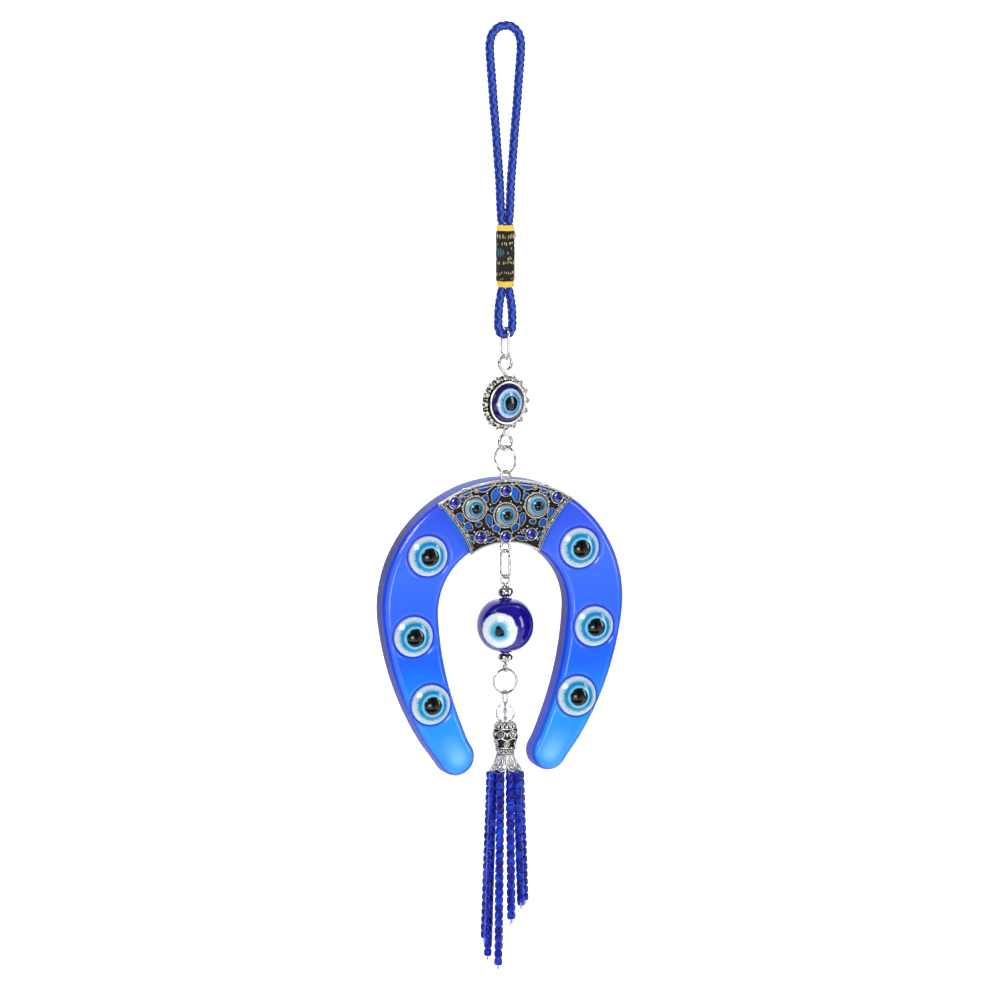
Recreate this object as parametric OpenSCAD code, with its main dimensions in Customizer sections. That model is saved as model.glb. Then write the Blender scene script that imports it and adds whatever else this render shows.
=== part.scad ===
// Evil eye wall ornament: a cord, a sun charm, a resin horseshoe set with eyes, and a bead tassel.
// Millimetres. +X is to the right, -Y to the front and +Z up.
// The origin is where the hook bears: the inner top of the cord's loop.

/* [Cord and band] */
// Diameter of the satin cord
cord_d = 2.8; // [2.4:0.1:2.8]
// Diameter of the cord where the band squeezes it
squeezed_d = 2.3; // [2:0.1:2.3]
// Height of the top of the golden thread above the band, below the origin
wrap_top = 58.5; // [57:0.5:60]
// Height of each golden thread winding
wrap_h = 2; // [1.2:0.2:3]
// Height of the brocade band
band_h = 15; // [10:0.5:15]
// Wall of the brocade band
band_wall = 0.4; // [0.3:0.05:0.8]

/* [Jump rings] */
// Clearance left between two rings that hang in each other
link_gap = 0.1; // [0.05:0.05:0.2]
// Wire diameter of the oval ring in the cord
cord_link_wire = 0.9; // [0.7:0.1:1]
// Outer length of the oval ring in the cord
cord_link_l = 10.6; // [9:0.2:13]
// Outer width of the oval ring in the cord
cord_link_w = 5.1; // [5:0.1:6]
// Turn of that ring about the vertical
cord_link_turn = -80; // [-90:1:-70]
// Wire diameter of the round ring above the horseshoe
shoe_link_wire = 0.8; // [0.6:0.1:0.9]
// Outer diameter of the round ring above the horseshoe
shoe_link_d = 9; // [7:0.2:11]
// Turn of that ring about the vertical
shoe_link_turn = -61; // [-75:1:-60]
// Wire diameter of the oval ring below the plate
drop_link_wire = 0.8; // [0.6:0.1:0.9]
// Outer length of the oval ring below the plate
drop_link_l = 9.4; // [8:0.2:12]
// Outer width of the oval ring below the plate
drop_link_w = 4.8; // [4.4:0.1:6]
// Wire diameter of the round ring above the tassel
tassel_ring_wire = 0.8; // [0.6:0.1:0.9]
// Outer diameter of the round ring above the tassel
tassel_ring_d = 8.1; // [7:0.1:10]

/* [Sun charm] */
// Turn of the charm about the vertical
sun_turn = 16; // [0:1:20]
// Diameter of the charm's eye
sun_eye_d = 11.4; // [9:0.2:14]
// Wall of the bezel around the eye
bezel_wall = 0.65; // [0.5:0.05:1]
// Thickness of the charm from its back to the bezel's rim
sun_t = 3; // [2.6:0.1:4]
// Number of scrolls around the bezel
sun_rays = 16; // [12:2:20]
// Radius of one scroll
ray_r = 1.25; // [0.9:0.05:1.4]
// Wire diameter of the charm's two rings
sun_ring_wire = 1.1; // [0.8:0.1:1.2]
// Outer diameter of the charm's two rings
sun_ring_d = 5.6; // [5:0.1:7]

/* [Horseshoe] */
// Radius of the middle line over the top
arch_r = 29.6; // [27:0.2:36]
// Radius of the middle line down each leg
leg_r = 95; // [85:1:115]
// Angle from the top at which the leg's arc begins
arch_turn = 95; // [90:1:100]
// Angle that each leg's arc sweeps
leg_turn = 27.6; // [22:0.2:30]
// Width of the horseshoe at the top
arch_w = 19.4; // [19:0.1:22]
// Width of each leg at its round end
leg_end_w = 11.6; // [9:0.2:12]
// Thickness of the resin
resin_t = 7; // [6:0.1:9]
// Bevel along the front edge
front_bevel = 2.2; // [1:0.1:2.4]
// Bevel along the back edge
back_bevel = 0.6; // [0.3:0.1:1]
// Diameter of the six eyes set in the legs
leg_eye_d = 12.2; // [8:0.2:12.2]
// Height of an eye's dome above the front face
dome_h = 2; // [1:0.1:3]

/* [Plate] */
// Thickness of the openwork plate
plate_t = 1.2; // [0.8:0.1:1.6]
// Half the angle that the plate spans
plate_half_turn = 33; // [31:0.5:36]
// Wire diameter of the plate's two loops
plate_loop_wire = 0.9; // [0.7:0.05:1]
// Outer diameter of the plate's two loops
plate_loop_d = 3.7; // [3.6:0.1:4.6]
// Diameter of the plate's three eyes
plate_eye_d = 6; // [4:0.1:6.4]
// Diameter of one rhinestone
stone_d = 3.4; // [2.4:0.1:3.6]
// Wall of each cup that holds an eye or a stone
cup_wall = 0.4; // [0.3:0.05:0.5]

/* [Pendant] */
// Wire diameter of the eye pin
pin_wire = 0.7; // [0.5:0.05:0.8]
// Outer diameter of the eye pin's loops
pin_loop_d = 3.3; // [3.2:0.1:4]
// Radial clearance between a pin and a bead's bore
bore_gap = 0.1; // [0.05:0.01:0.1]
// Diameter of the glass eye bead
glass_d = 17.4; // [12:0.2:20]
// Height of the glass eye bead between its collars
glass_h = 15.7; // [12:0.1:18]
// Diameter of the spacer above the glass bead
upper_spacer_d = 5; // [4:0.1:7]
// Height of the spacer above the glass bead
upper_spacer_h = 3.8; // [3:0.1:5]
// Diameter of the spacer below the glass bead
lower_spacer_d = 4.8; // [4:0.1:7]
// Height of the spacer below the glass bead
lower_spacer_h = 3; // [2.4:0.1:5]

/* [Tassel] */
// Wire diameter of the tassel's pin
tassel_wire = 0.6; // [0.5:0.05:0.7]
// Diameter of the clear faceted bead
crystal_d = 6; // [5:0.1:8]
// Height of the clear faceted bead
crystal_h = 5.7; // [4:0.1:7]
// Height of the vase-shaped cap
vase_h = 9.3; // [7:0.1:12]
// Largest diameter of the vase-shaped cap
vase_d = 7.4; // [6:0.1:9]
// Height of the flared petal cap
petal_h = 5.2; // [4:0.1:7]
// Diameter of the petal cap's rim
petal_d = 9.4; // [9:0.1:11]
// Number of petals
petals = 8; // [6:1:10]
// Wall of both caps
cap_wall = 0.5; // [0.4:0.05:0.7]
// Diameter of one seed bead
seed_d = 2.65; // [1.8:0.05:2.7]
// Length of one seed bead along its thread
seed_h = 2.3; // [1.6:0.1:2.3]
// Distance from one seed bead to the next
seed_pitch = 2.36; // [2.34:0.02:3]
// Diameter of the clear thread
thread_d = 0.4; // [0.3:0.05:0.5]
// Radius of the circle on which the strands hang
strand_circle_r = 4.55; // [4.5:0.05:4.7]
// Outward lean of each strand
strand_lean = 2; // [1:0.5:4]

/* [Hidden] */
$fn = 48;
tiny = 0.01;

// ---- cord: its route lies in the plane y = 0, from inside the band round both loops and back into it
cord_route = [
    [-1.2, -67], [-1.2, -62], [-1.2, -57.8], [-1.5, -53], [-1.8, -46], [-2.4, -38], [-3, -30],
    [-3.7, -22], [-4.3, -14], [-4.8, -8], [-4.9, -4], [-4.2, -1.2], [-2.4, 0.8], [0, 1.4],
    [2.4, 0.8], [4.2, -1.2], [4.9, -4], [4.8, -8], [4.3, -14], [3.7, -22], [3, -30],
    [2.4, -38], [1.8, -46], [1.5, -53], [1.2, -57.8], [1.2, -62], [1.2, -68], [1.2, -74],
    [1.2, -78.2], [1.6, -80.8], [2, -83.4], [2.2, -86.4], [2.2, -89.2], [1.85, -90.9], [1, -91.7],
    [0, -91.8], [-1, -91.7], [-1.85, -90.9], [-2.2, -89.2], [-2.2, -86.4], [-2, -83.4], [-1.6, -80.8],
    [-1.2, -78.2], [-1.2, -74], [-1.2, -70]
];
cord_sides = 8;
band_top = wrap_top + wrap_h;
band_bottom = band_top + band_h;
wrap_bottom = band_bottom + wrap_h;
cord_low = 91.8;
// extra room for the ring in the cord's tight bend
cord_bend_gap = 0.1;
cord_squeeze_margin = 1.5;
leg_apart = 1.2;
band_grip = 0.05;

// ---- heights down the chain, each from the piece above it
function hang(upper_wire, lower_wire) = (upper_wire + lower_wire) / 2 + link_gap;

cord_link_top_z = -cord_low + hang(cord_d, cord_link_wire) + cord_bend_gap;
cord_link_low_z = cord_link_top_z - cord_link_l + cord_link_wire;
sun_ring_r = (sun_ring_d - sun_ring_wire) / 2;
sun_top_wire_z = cord_link_low_z + hang(cord_link_wire, sun_ring_wire);
sun_top_ring_z = sun_top_wire_z - sun_ring_r;
bezel_r = sun_eye_d / 2 + bezel_wall;
ring_to_bezel = 2.85;
sun_z = sun_top_ring_z - sun_ring_d / 2 - ring_to_bezel - bezel_r;
sun_low_ring_z = sun_z - bezel_r - ring_to_bezel - sun_ring_d / 2;
sun_low_wire_z = sun_low_ring_z - sun_ring_r;
shoe_link_r = (shoe_link_d - shoe_link_wire) / 2;
shoe_link_top_z = sun_low_wire_z + hang(sun_ring_wire, shoe_link_wire);
shoe_link_z = shoe_link_top_z - shoe_link_r;
shoe_link_low_z = shoe_link_z - shoe_link_r;
plate_loop_r = (plate_loop_d - plate_loop_wire) / 2;
plate_top_loop_z = shoe_link_low_z + hang(shoe_link_wire, plate_loop_wire) - plate_loop_r;

// the plate and the horseshoe share one arc centre
plate_outer_r = arch_r + arch_w / 2;
plate_inner_r = arch_r - arch_w / 2;
loop_bite = 0.15;
arc_z = plate_top_loop_z - plate_loop_d / 2 + loop_bite - plate_outer_r;
plate_low_loop_z = arc_z + plate_inner_r - plate_loop_d / 2 + loop_bite;
plate_low_wire_z = plate_low_loop_z - plate_loop_r;
shoe_front_y = plate_t / 2;
shoe_back_y = shoe_front_y + resin_t;

drop_link_top_z = plate_low_wire_z + hang(plate_loop_wire, drop_link_wire);
drop_link_low_z = drop_link_top_z - drop_link_l + drop_link_wire;
pin_loop_r = (pin_loop_d - pin_wire) / 2;
pin_top_loop_z = drop_link_low_z + hang(drop_link_wire, pin_wire) - pin_loop_r;
stack_gap = 0.1;
collar_h = 0.45;
upper_spacer_top_z = pin_top_loop_z - pin_loop_d / 2 - 0.1;
glass_top_z = upper_spacer_top_z - upper_spacer_h - stack_gap;
glass_z = glass_top_z - collar_h - glass_h / 2;
glass_low_z = glass_z - glass_h / 2 - collar_h;
lower_spacer_top_z = glass_low_z - stack_gap;
pin_low_loop_z = lower_spacer_top_z - lower_spacer_h - 0.1 - pin_loop_d / 2;
pin_low_wire_z = pin_low_loop_z - pin_loop_r;
tassel_ring_r = (tassel_ring_d - tassel_ring_wire) / 2;
tassel_ring_top_z = pin_low_wire_z + hang(pin_wire, tassel_ring_wire);
tassel_ring_z = tassel_ring_top_z - tassel_ring_r;
tassel_ring_low_z = tassel_ring_z - tassel_ring_r;
tassel_loop_w = 2.6;
tassel_loop_l = 4.4;
tassel_loop_top_z = tassel_ring_low_z + hang(tassel_ring_wire, tassel_wire);
tassel_loop_low_z = tassel_loop_top_z - tassel_loop_l + tassel_wire;
crystal_top_z = tassel_loop_low_z - tassel_wire / 2 - 0.1;
vase_top_z = crystal_top_z - crystal_h - 0.05;
petal_top_z = vase_top_z - vase_h - 0.05;
rim_z = petal_top_z - petal_h;
strand_top_z = rim_z - 0.4;
knot_rise = 1.4;
knot_z = strand_top_z + knot_rise;
knot_r = 1.1;

// ---- horseshoe: a middle line of two arcs and a half-width that narrows along it
arch_len = arch_r * arch_turn * PI / 180;
leg_len = leg_r * leg_turn * PI / 180;
half_len = arch_len + leg_len;
taper_power = 2.6;
outline_steps = 40;
cap_steps = 10;
leg_centre_x = (arch_r - leg_r) * sin(arch_turn);
leg_centre_z = arc_z + (arch_r - leg_r) * cos(arch_turn);

function turn_at(s) = s < arch_len ? s / arch_r * 180 / PI : arch_turn + (s - arch_len) / leg_r * 180 / PI;
function spine(s) = s < arch_len
    ? [arch_r * sin(turn_at(s)), arc_z + arch_r * cos(turn_at(s))]
    : [leg_centre_x + leg_r * sin(turn_at(s)), leg_centre_z + leg_r * cos(turn_at(s))];
function outward(s) = [sin(turn_at(s)), cos(turn_at(s))];
function half_w(s) = arch_w / 2 - (arch_w - leg_end_w) / 2 * pow(s / half_len, taper_power);
function flip(p) = [-p[0], p[1]];
function rim_side(inset, side) = [
    for (i = [0:outline_steps])
        let (s = half_len * i / outline_steps)
        spine(s) + side * (half_w(s) - inset) * outward(s)
];
function end_cap(inset) = [
    for (i = [1:cap_steps - 1])
        let (a = turn_at(half_len) + 180 * i / cap_steps)
        spine(half_len) + (leg_end_w / 2 - inset) * [sin(a), cos(a)]
];
function backwards(list) = [for (i = [len(list) - 1:-1:0]) list[i]];
function half_outline(inset) = concat(rim_side(inset, 1), end_cap(inset), backwards(rim_side(inset, -1)));
// the right half as made, then the mirrored half, with the two shared points at the top used once
function outline(inset) =
    let (right = half_outline(inset), n = len(right))
    concat(right, [for (i = [n - 2:-1:1]) flip(right[i])]);

// places of the eyes along the middle line: past the plate, between, and back from the leg's end
top_eye_run = arch_r * plate_half_turn * PI / 180 + 11.4;
low_eye_run = half_len - 18.9;
eye_run = [top_eye_run, (top_eye_run + low_eye_run) / 2 + 1.8, low_eye_run];
eye_seat_depth = 2.5;
dish_depth = 0.9;
dish_extra = [1.1, 1.1, 0.8];

// ---- plate: where its eyes, stones and windows are, on the right half; the left half mirrors them
// heights are counted from the middle line at the top
plate_eye_at = [9.9, 1.4];
plate_mid_eye_z = -1.1;
stone_at = [[16.4, 3.6], [8.1, -7.3]];
stone_mid_z = [6.5, -7.7];
// each window: x, height, length, width, tilt
windows = [
    [20.1, 3, 1.6, 1.1, -30], [12.3, 6.4, 2.6, 2, -20], [6.3, 7.6, 4.6, 1.8, -14],
    [3.3, 5, 4.4, 2.2, 110], [6.5, 4.2, 1.8, 1.3, 60], [13.6, 4.3, 1.3, 0.9, 50],
    [14.6, -1.4, 2.8, 1.8, 60], [11.9, -4.1, 2.4, 1.8, 40], [5.3, -2.7, 3.6, 1.4, 80],
    [8.6, -3.5, 1.6, 1, 0], [3, -5, 2.2, 1.8, 60], [4.6, -8.4, 2.8, 0.8, -16],
    [10.9, -7.7, 1.6, 1.1, 60], [4.2, 0.6, 1, 0.9, 0]
];
window_steps = 20;
side_hollow = 1.1;
cup_front = 0.5;
plate_eye_base = 1;
plate_eye_crown = 2.2;
cup_floor = 0.4;

// ---- strands, by place round the tassel
strand_count = 10;
strand_first_turn = -20;
strand_seeds = [17, 18, 20, 24, 23, 22, 24, 25, 19, 17];
seed_start = 1.2;
tail = 0.8;
pivot_ball_r = 0.3;
arm_stop = 0.65;

// ---- shared shapes
// A torus of wire standing upright, its hole along Y
module wire_ring(r, wire) {
    rotate([90, 0, 0]) rotate_extrude() translate([r, 0]) circle(d = wire);
}

// An oval wire loop standing upright, its hole along Y, its top wire at z = 0 and its length downward
module wire_oval(length, width, wire) {
    r = (width - wire) / 2;
    straight = length - width;
    for (side = [-1, 1])
        translate([side * r, 0, -r - straight]) cylinder(d = wire, h = straight);
    translate([0, 0, -r]) rotate([90, 0, 0]) rotate_extrude(angle = 180) translate([r, 0]) circle(d = wire);
    translate([0, 0, -r - straight])
        rotate([-90, 0, 0]) rotate_extrude(angle = 180) translate([r, 0]) circle(d = wire);
}

// A domed eye lying on its back at y = 0: the straight base, then the dome towards -Y
module cabochon(d, base_h, crown_h) {
    dome_r = (d * d / 4 + crown_h * crown_h) / (2 * crown_h);
    rotate([90, 0, 0]) {
        cylinder(d = d, h = base_h);
        intersection() {
            translate([0, 0, base_h + crown_h - dome_r]) sphere(r = dome_r, $fn = 96);
            translate([0, 0, base_h - tiny]) cylinder(d = d, h = crown_h + 1);
        }
    }
}

// A bead turned about Z from z = 0 down: bulging sides, flat ends and a bore
module bulged_bead(d, end_d, h, bore_d) {
    bulge = (d - end_d) / 2;
    arc_r = (h * h / 4 + bulge * bulge) / (2 * bulge);
    steps = 12;
    half_turn = asin(h / 2 / arc_r);
    side = [for (i = [0:steps]) let (a = half_turn - 2 * half_turn * i / steps)
        [d / 2 - arc_r + arc_r * cos(a), -h / 2 + arc_r * sin(a)]];
    rotate_extrude() polygon(concat([[bore_d / 2, 0]], side, [[bore_d / 2, -h]]));
}

// ---- cord and band
function squeeze(z) = z < -wrap_top + cord_squeeze_margin && z > -wrap_bottom - cord_squeeze_margin;
function cord_r(z) = squeeze(z) ? squeezed_d / 2 : cord_d / 2;
function heading(i) =
    let (a = cord_route[max(i - 1, 0)], b = cord_route[min(i + 1, len(cord_route) - 1)])
    (b - a) / norm(b - a);
function cord_ring(i) =
    let (p = cord_route[i], h = heading(i), r = cord_r(p[1]) / cos(180 / cord_sides))
    [for (k = [0:cord_sides - 1]) let (a = 360 * (k + 0.5) / cord_sides)
        [p[0] - h[1] * r * cos(a), r * sin(a), p[1] + h[0] * r * cos(a)]];

module hanging_cord() {
    n = len(cord_route);
    rings = [for (i = [0:n - 1]) each cord_ring(i)];
    walls = [
        for (i = [0:n - 2], k = [0:cord_sides - 1])
            let (a = i * cord_sides, next = (k + 1) % cord_sides)
            [a + k, a + cord_sides + k, a + cord_sides + next, a + next]
    ];
    first = [for (k = [0:cord_sides - 1]) k];
    last = [for (k = [cord_sides - 1:-1:0]) (n - 1) * cord_sides + k];
    color("royalblue") polyhedron(points = rings, faces = concat([first], walls, [last]), convexity = 6);
}

// A closed sleeve round both runs of the cord, from its top height downwards
module sleeve(top, h, wall) {
    inner = squeezed_d / cos(180 / cord_sides) + 2 * band_grip;
    translate([0, 0, -top - h]) difference() {
        sleeve_block(inner + 2 * wall, h);
        translate([0, 0, -1]) sleeve_block(inner, h + 2);
    }
}

module sleeve_block(d, h) {
    for (side = [-1, 1]) translate([side * leg_apart, 0, 0]) cylinder(d = d, h = h);
    translate([-leg_apart, -d / 2, 0]) cube([2 * leg_apart, d, h]);
}

wrap_wall = band_wall - 0.1;
module top_thread_wrap() {
    color("gold") sleeve(wrap_top, wrap_h, wrap_wall);
}

module brocade_band() {
    color("saddlebrown") sleeve(band_top, band_h, band_wall);
}

module bottom_thread_wrap() {
    color("gold") sleeve(band_bottom, wrap_h, wrap_wall);
}

// ---- rings of the chain
module cord_link() {
    color("silver") translate([0, 0, cord_link_top_z]) rotate([0, 0, cord_link_turn])
        wire_oval(cord_link_l, cord_link_w, cord_link_wire);
}

module horseshoe_link() {
    color("silver") translate([0, 0, shoe_link_z]) rotate([0, 0, shoe_link_turn])
        wire_ring(shoe_link_r, shoe_link_wire);
}

module drop_link() {
    color("silver") translate([0, 0, drop_link_top_z]) rotate([0, 0, 90])
        wire_oval(drop_link_l, drop_link_w, drop_link_wire);
}

module tassel_ring() {
    color("silver") translate([0, 0, tassel_ring_z]) wire_ring(tassel_ring_r, tassel_ring_wire);
}

// ---- sun charm
sun_seat_y = 0.2;
sun_back_y = 1.4;
module at_sun() {
    translate([0, 0, sun_z]) rotate([0, 0, sun_turn]) children();
}

module sun_setting() {
    step = 360 / sun_rays;
    color("silver") at_sun() {
        difference() {
            rotate([90, 0, 0]) translate([0, 0, -sun_back_y]) cylinder(r = bezel_r, h = sun_t);
            rotate([90, 0, 0]) translate([0, 0, -sun_seat_y]) cylinder(d = sun_eye_d + 0.1, h = sun_t);
        }
        for (i = [0:sun_rays - 1]) {
            rotate([0, i * step, 0]) translate([bezel_r + ray_r * 0.68, 0, 0]) sphere(r = ray_r);
            rotate([0, (i + 0.5) * step, 0]) translate([bezel_r + 0.45, 0, 0]) sphere(r = 0.6);
        }
        for (side = [-1, 1]) {
            translate([0, 0, side * (bezel_r + ring_to_bezel + sun_ring_d / 2)]) wire_ring(sun_ring_r, sun_ring_wire);
            translate([0, 0, side * (bezel_r + ring_to_bezel - 0.25)]) sphere(r = 0.85);
        }
    }
}

module sun_eye() {
    color("midnightblue") at_sun() translate([0, sun_seat_y, 0]) cabochon(sun_eye_d, 1.8, 1.9);
}

// ---- horseshoe
module horseshoe_blank() {
    layers = [
        [shoe_front_y, front_bevel], [shoe_front_y + front_bevel * 0.45, front_bevel * 0.4],
        [shoe_front_y + front_bevel, 0], [shoe_back_y - back_bevel, 0], [shoe_back_y, back_bevel]
    ];
    n = len(outline(0));
    rows = len(layers);
    points = [for (l = layers, p = outline(l[1])) [p[0], l[0], p[1]]];
    walls = [
        for (j = [0:rows - 2], i = [0:n - 1])
            let (a = j * n, next = (i + 1) % n)
            [a + i, a + next, a + n + next, a + n + i]
    ];
    // the flat faces are strips across the width, with a fan at each round end
    m = outline_steps;
    far = n / 2;
    strips = [for (i = [0:m - 1]) [i, i + 1, far - i - 1, far - i]];
    right = concat(strips, [[for (i = [m:far - m]) i]]);
    both = concat(right, [for (f = right) backwards([for (i = f) (n - i) % n])]);
    front = [for (f = both) backwards(f)];
    back = [for (f = both) [for (i = f) (rows - 1) * n + i]];
    polyhedron(points = points, faces = concat(front, walls, back), convexity = 8);
}

module at_eye(side, row) {
    p = spine(eye_run[row]);
    translate([side * p[0], shoe_front_y, p[1]]) children();
}

module horseshoe_body() {
    color("mediumblue") difference() {
        horseshoe_blank();
        for (side = [-1, 1], row = [0:2])
            at_eye(side, row) rotate([-90, 0, 0]) {
                translate([0, 0, -1]) cylinder(d = leg_eye_d + 0.1, h = eye_seat_depth + 1);
                translate([0, 0, -tiny])
                    cylinder(r1 = leg_eye_d / 2 + dish_extra[row], r2 = leg_eye_d / 2, h = dish_depth);
            }
    }
}

module leg_eye(side, row) {
    color("lightcyan") at_eye(side, row) translate([0, eye_seat_depth, 0])
        cabochon(leg_eye_d, eye_seat_depth - 0.3, dome_h + 0.3);
}

// ---- plate
function arc_points(r, a0, a1, steps) = [
    for (i = [0:steps]) let (a = a0 + (a1 - a0) * i / steps) [r * sin(a), r * cos(a)]
];
// a side edge from the outer to the inner corner, hollowed towards the middle of the plate
function side_points(sign, steps) = [
    for (i = [1:steps - 1])
        let (t = i / steps, r = plate_outer_r + (plate_inner_r - plate_outer_r) * t,
             a = sign * (plate_half_turn - side_hollow * 4 * t * (1 - t) / r * 180 / PI))
        [r * sin(a), r * cos(a)]
];

module plate_outline() {
    polygon(concat(
        arc_points(plate_outer_r, -plate_half_turn, plate_half_turn, 36), side_points(1, 8),
        arc_points(plate_inner_r, plate_half_turn, -plate_half_turn, 24), backwards(side_points(-1, 8))
    ));
}

module window_shape(w) {
    translate([w[0], arch_r + w[1]]) rotate(w[4])
        polygon([for (i = [0:window_steps - 1]) let (a = 360 * i / window_steps)
            [w[2] / 2 * cos(a), w[3] / 2 * sin(a)]]);
}

// places of every eye and stone on the plate, as x and height
plate_eyes = [flip(plate_eye_at), [0, plate_mid_eye_z], plate_eye_at];
stones = concat([for (p = stone_at) each [flip(p), p]], [for (z = stone_mid_z) [0, z]]);

// a place on the plate: x, height from the middle line, and y
module at_plate(p, y) {
    translate([p[0], y, arc_z + arch_r + p[1]]) children();
}

// a cup lip round a seat, towards the front
module cups(places, seat_d) {
    for (p = places)
        at_plate(p, plate_t / 2) rotate([90, 0, 0]) cylinder(d = seat_d + 2 * cup_wall, h = plate_t + cup_front);
}

module seats(places, seat_d) {
    for (p = places)
        at_plate(p, plate_t / 2 - cup_floor) rotate([90, 0, 0]) cylinder(d = seat_d, h = plate_t + cup_front + 1);
}

module filigree_plate() {
    color("silver") {
        difference() {
            union() {
                translate([0, plate_t / 2, arc_z]) rotate([90, 0, 0]) linear_extrude(plate_t) difference() {
                    plate_outline();
                    for (w = windows) {
                        window_shape(w);
                        mirror([1, 0]) window_shape(w);
                    }
                }
                cups(plate_eyes, plate_eye_d + 0.1);
                cups(stones, stone_d + 0.1);
            }
            seats(plate_eyes, plate_eye_d + 0.1);
            seats(stones, stone_d + 0.1);
        }
        for (z = [plate_top_loop_z, plate_low_loop_z]) translate([0, 0, z]) wire_ring(plate_loop_r, plate_loop_wire);
    }
}

seat_y = plate_t / 2 - cup_floor;
module plate_eye(place) {
    color("lightcyan") at_plate(place, seat_y) cabochon(plate_eye_d, plate_eye_base, plate_eye_crown);
}

module rhinestones() {
    color("slateblue") for (p = stones)
        at_plate(p, seat_y) rotate([90, 0, 0]) {
            cylinder(d = stone_d, h = 1.1, $fn = 8);
            translate([0, 0, 1.1]) cylinder(d1 = stone_d, d2 = stone_d * 0.55, h = 0.7, $fn = 8);
        }
}

// ---- pendant
module eye_pin() {
    color("silver") {
        translate([0, 0, pin_top_loop_z]) wire_ring(pin_loop_r, pin_wire);
        translate([0, 0, pin_low_loop_z]) rotate([0, 0, 90]) wire_ring(pin_loop_r, pin_wire);
        translate([0, 0, pin_low_loop_z + pin_loop_r])
            cylinder(d = pin_wire, h = pin_top_loop_z - pin_low_loop_z - 2 * pin_loop_r);
    }
}

pin_bore = pin_wire + 2 * bore_gap;
module upper_spacer() {
    color("silver") translate([0, 0, upper_spacer_top_z])
        bulged_bead(upper_spacer_d, upper_spacer_d * 0.45, upper_spacer_h, pin_bore);
}

collar_d = 4;
module glass_eye_bead() {
    color("navy") {
        translate([0, 0, glass_z + glass_h / 2]) bulged_bead(glass_d, collar_d + 1.2, glass_h, pin_bore);
        for (z = [glass_top_z - collar_h, glass_low_z])
            translate([0, 0, z]) difference() {
                cylinder(d = collar_d, h = collar_h);
                translate([0, 0, -1]) cylinder(d = pin_bore, h = collar_h + 2);
            }
    }
}

module lower_spacer() {
    color("silver") translate([0, 0, lower_spacer_top_z])
        bulged_bead(lower_spacer_d, lower_spacer_d * 0.45, lower_spacer_h, pin_bore);
}

// ---- tassel
tassel_bore = tassel_wire + 2 * bore_gap;
module tassel_pin() {
    color("silver") {
        translate([0, 0, tassel_loop_top_z]) rotate([0, 0, 90])
            wire_oval(tassel_loop_l, tassel_loop_w, tassel_wire);
        translate([0, 0, knot_z + knot_r]) cylinder(d = tassel_wire, h = tassel_loop_low_z - knot_z - knot_r);
    }
}

module crystal_bead() {
    facets = 10;
    waist = 0.5;
    color("aliceblue") translate([0, 0, crystal_top_z - crystal_h]) difference() {
        union() {
            cylinder(d1 = crystal_d * waist, d2 = crystal_d, h = crystal_h / 2, $fn = facets);
            translate([0, 0, crystal_h / 2])
                cylinder(d1 = crystal_d, d2 = crystal_d * waist, h = crystal_h / 2, $fn = facets);
        }
        translate([0, 0, -1]) cylinder(d = tassel_bore, h = crystal_h + 2);
    }
}

module vase_cap() {
    // outline from the top down, as [radius, share of the height]
    r = vase_d / 2;
    side = [[0.72 * r, 0], [0.86 * r, 0.06], [0.95 * r, 0.2], [r, 0.4], [0.93 * r, 0.62], [0.8 * r, 0.84], [0.7 * r, 1]];
    color("silver") translate([0, 0, vase_top_z]) rotate_extrude() polygon(concat(
        [[tassel_bore / 2, 0]],
        [for (p = side) [p[0], -p[1] * vase_h]],
        [for (i = [len(side) - 1:-1:1]) [side[i][0] - cap_wall, -max(side[i][1] * vase_h, cap_wall * 1.5)]],
        [[tassel_bore / 2, -cap_wall * 1.5]]
    ));
}

module petal_cap() {
    top_r = vase_d / 2 * 0.7;
    rim_r = petal_d / 2;
    step = 360 / petals;
    color("silver") translate([0, 0, petal_top_z]) difference() {
        rotate_extrude() polygon([
            [tassel_bore / 2, 0], [top_r * 0.85, 0], [top_r, -0.3 * petal_h], [rim_r, -petal_h],
            [rim_r - cap_wall, -petal_h], [top_r - cap_wall, -0.36 * petal_h], [top_r * 0.6, -cap_wall],
            [tassel_bore / 2, -cap_wall]
        ]);
        for (i = [0:petals - 1]) {
            rotate([0, 0, i * step]) translate([0, 0, -0.58 * petal_h]) rotate([0, 90, 0])
                translate([0, 0, 1.5]) cylinder(r = 0.55, h = rim_r);
            rotate([0, 0, (i + 0.5) * step]) translate([0, 0, -petal_h]) rotate([0, 90, 0])
                translate([0, 0, 2]) cylinder(r = 0.9, h = rim_r);
        }
    }
}

function strand_turn(i) = strand_first_turn + 360 / strand_count * i;

// knotted thread ends under the pin, with one arm towards each strand
module thread_knot() {
    run = [strand_circle_r - 0.8, strand_top_z - knot_z];
    reach = norm(run) - arm_stop;
    slope = atan2(run[0], -run[1]);
    color("lavender") {
        translate([0, 0, knot_z]) sphere(r = knot_r);
        for (i = [0:strand_count - 1])
            rotate([0, 0, strand_turn(i)]) translate([0.8, 0, knot_z]) rotate([0, 180 - slope, 0])
                cylinder(d = thread_d, h = reach);
    }
}

// the place of strand i: its pivot at the origin, leaning outwards along +X
module at_strand(i) {
    rotate([0, 0, strand_turn(i)]) translate([strand_circle_r, 0, strand_top_z])
        rotate([0, -strand_lean, 0]) children();
}

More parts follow.
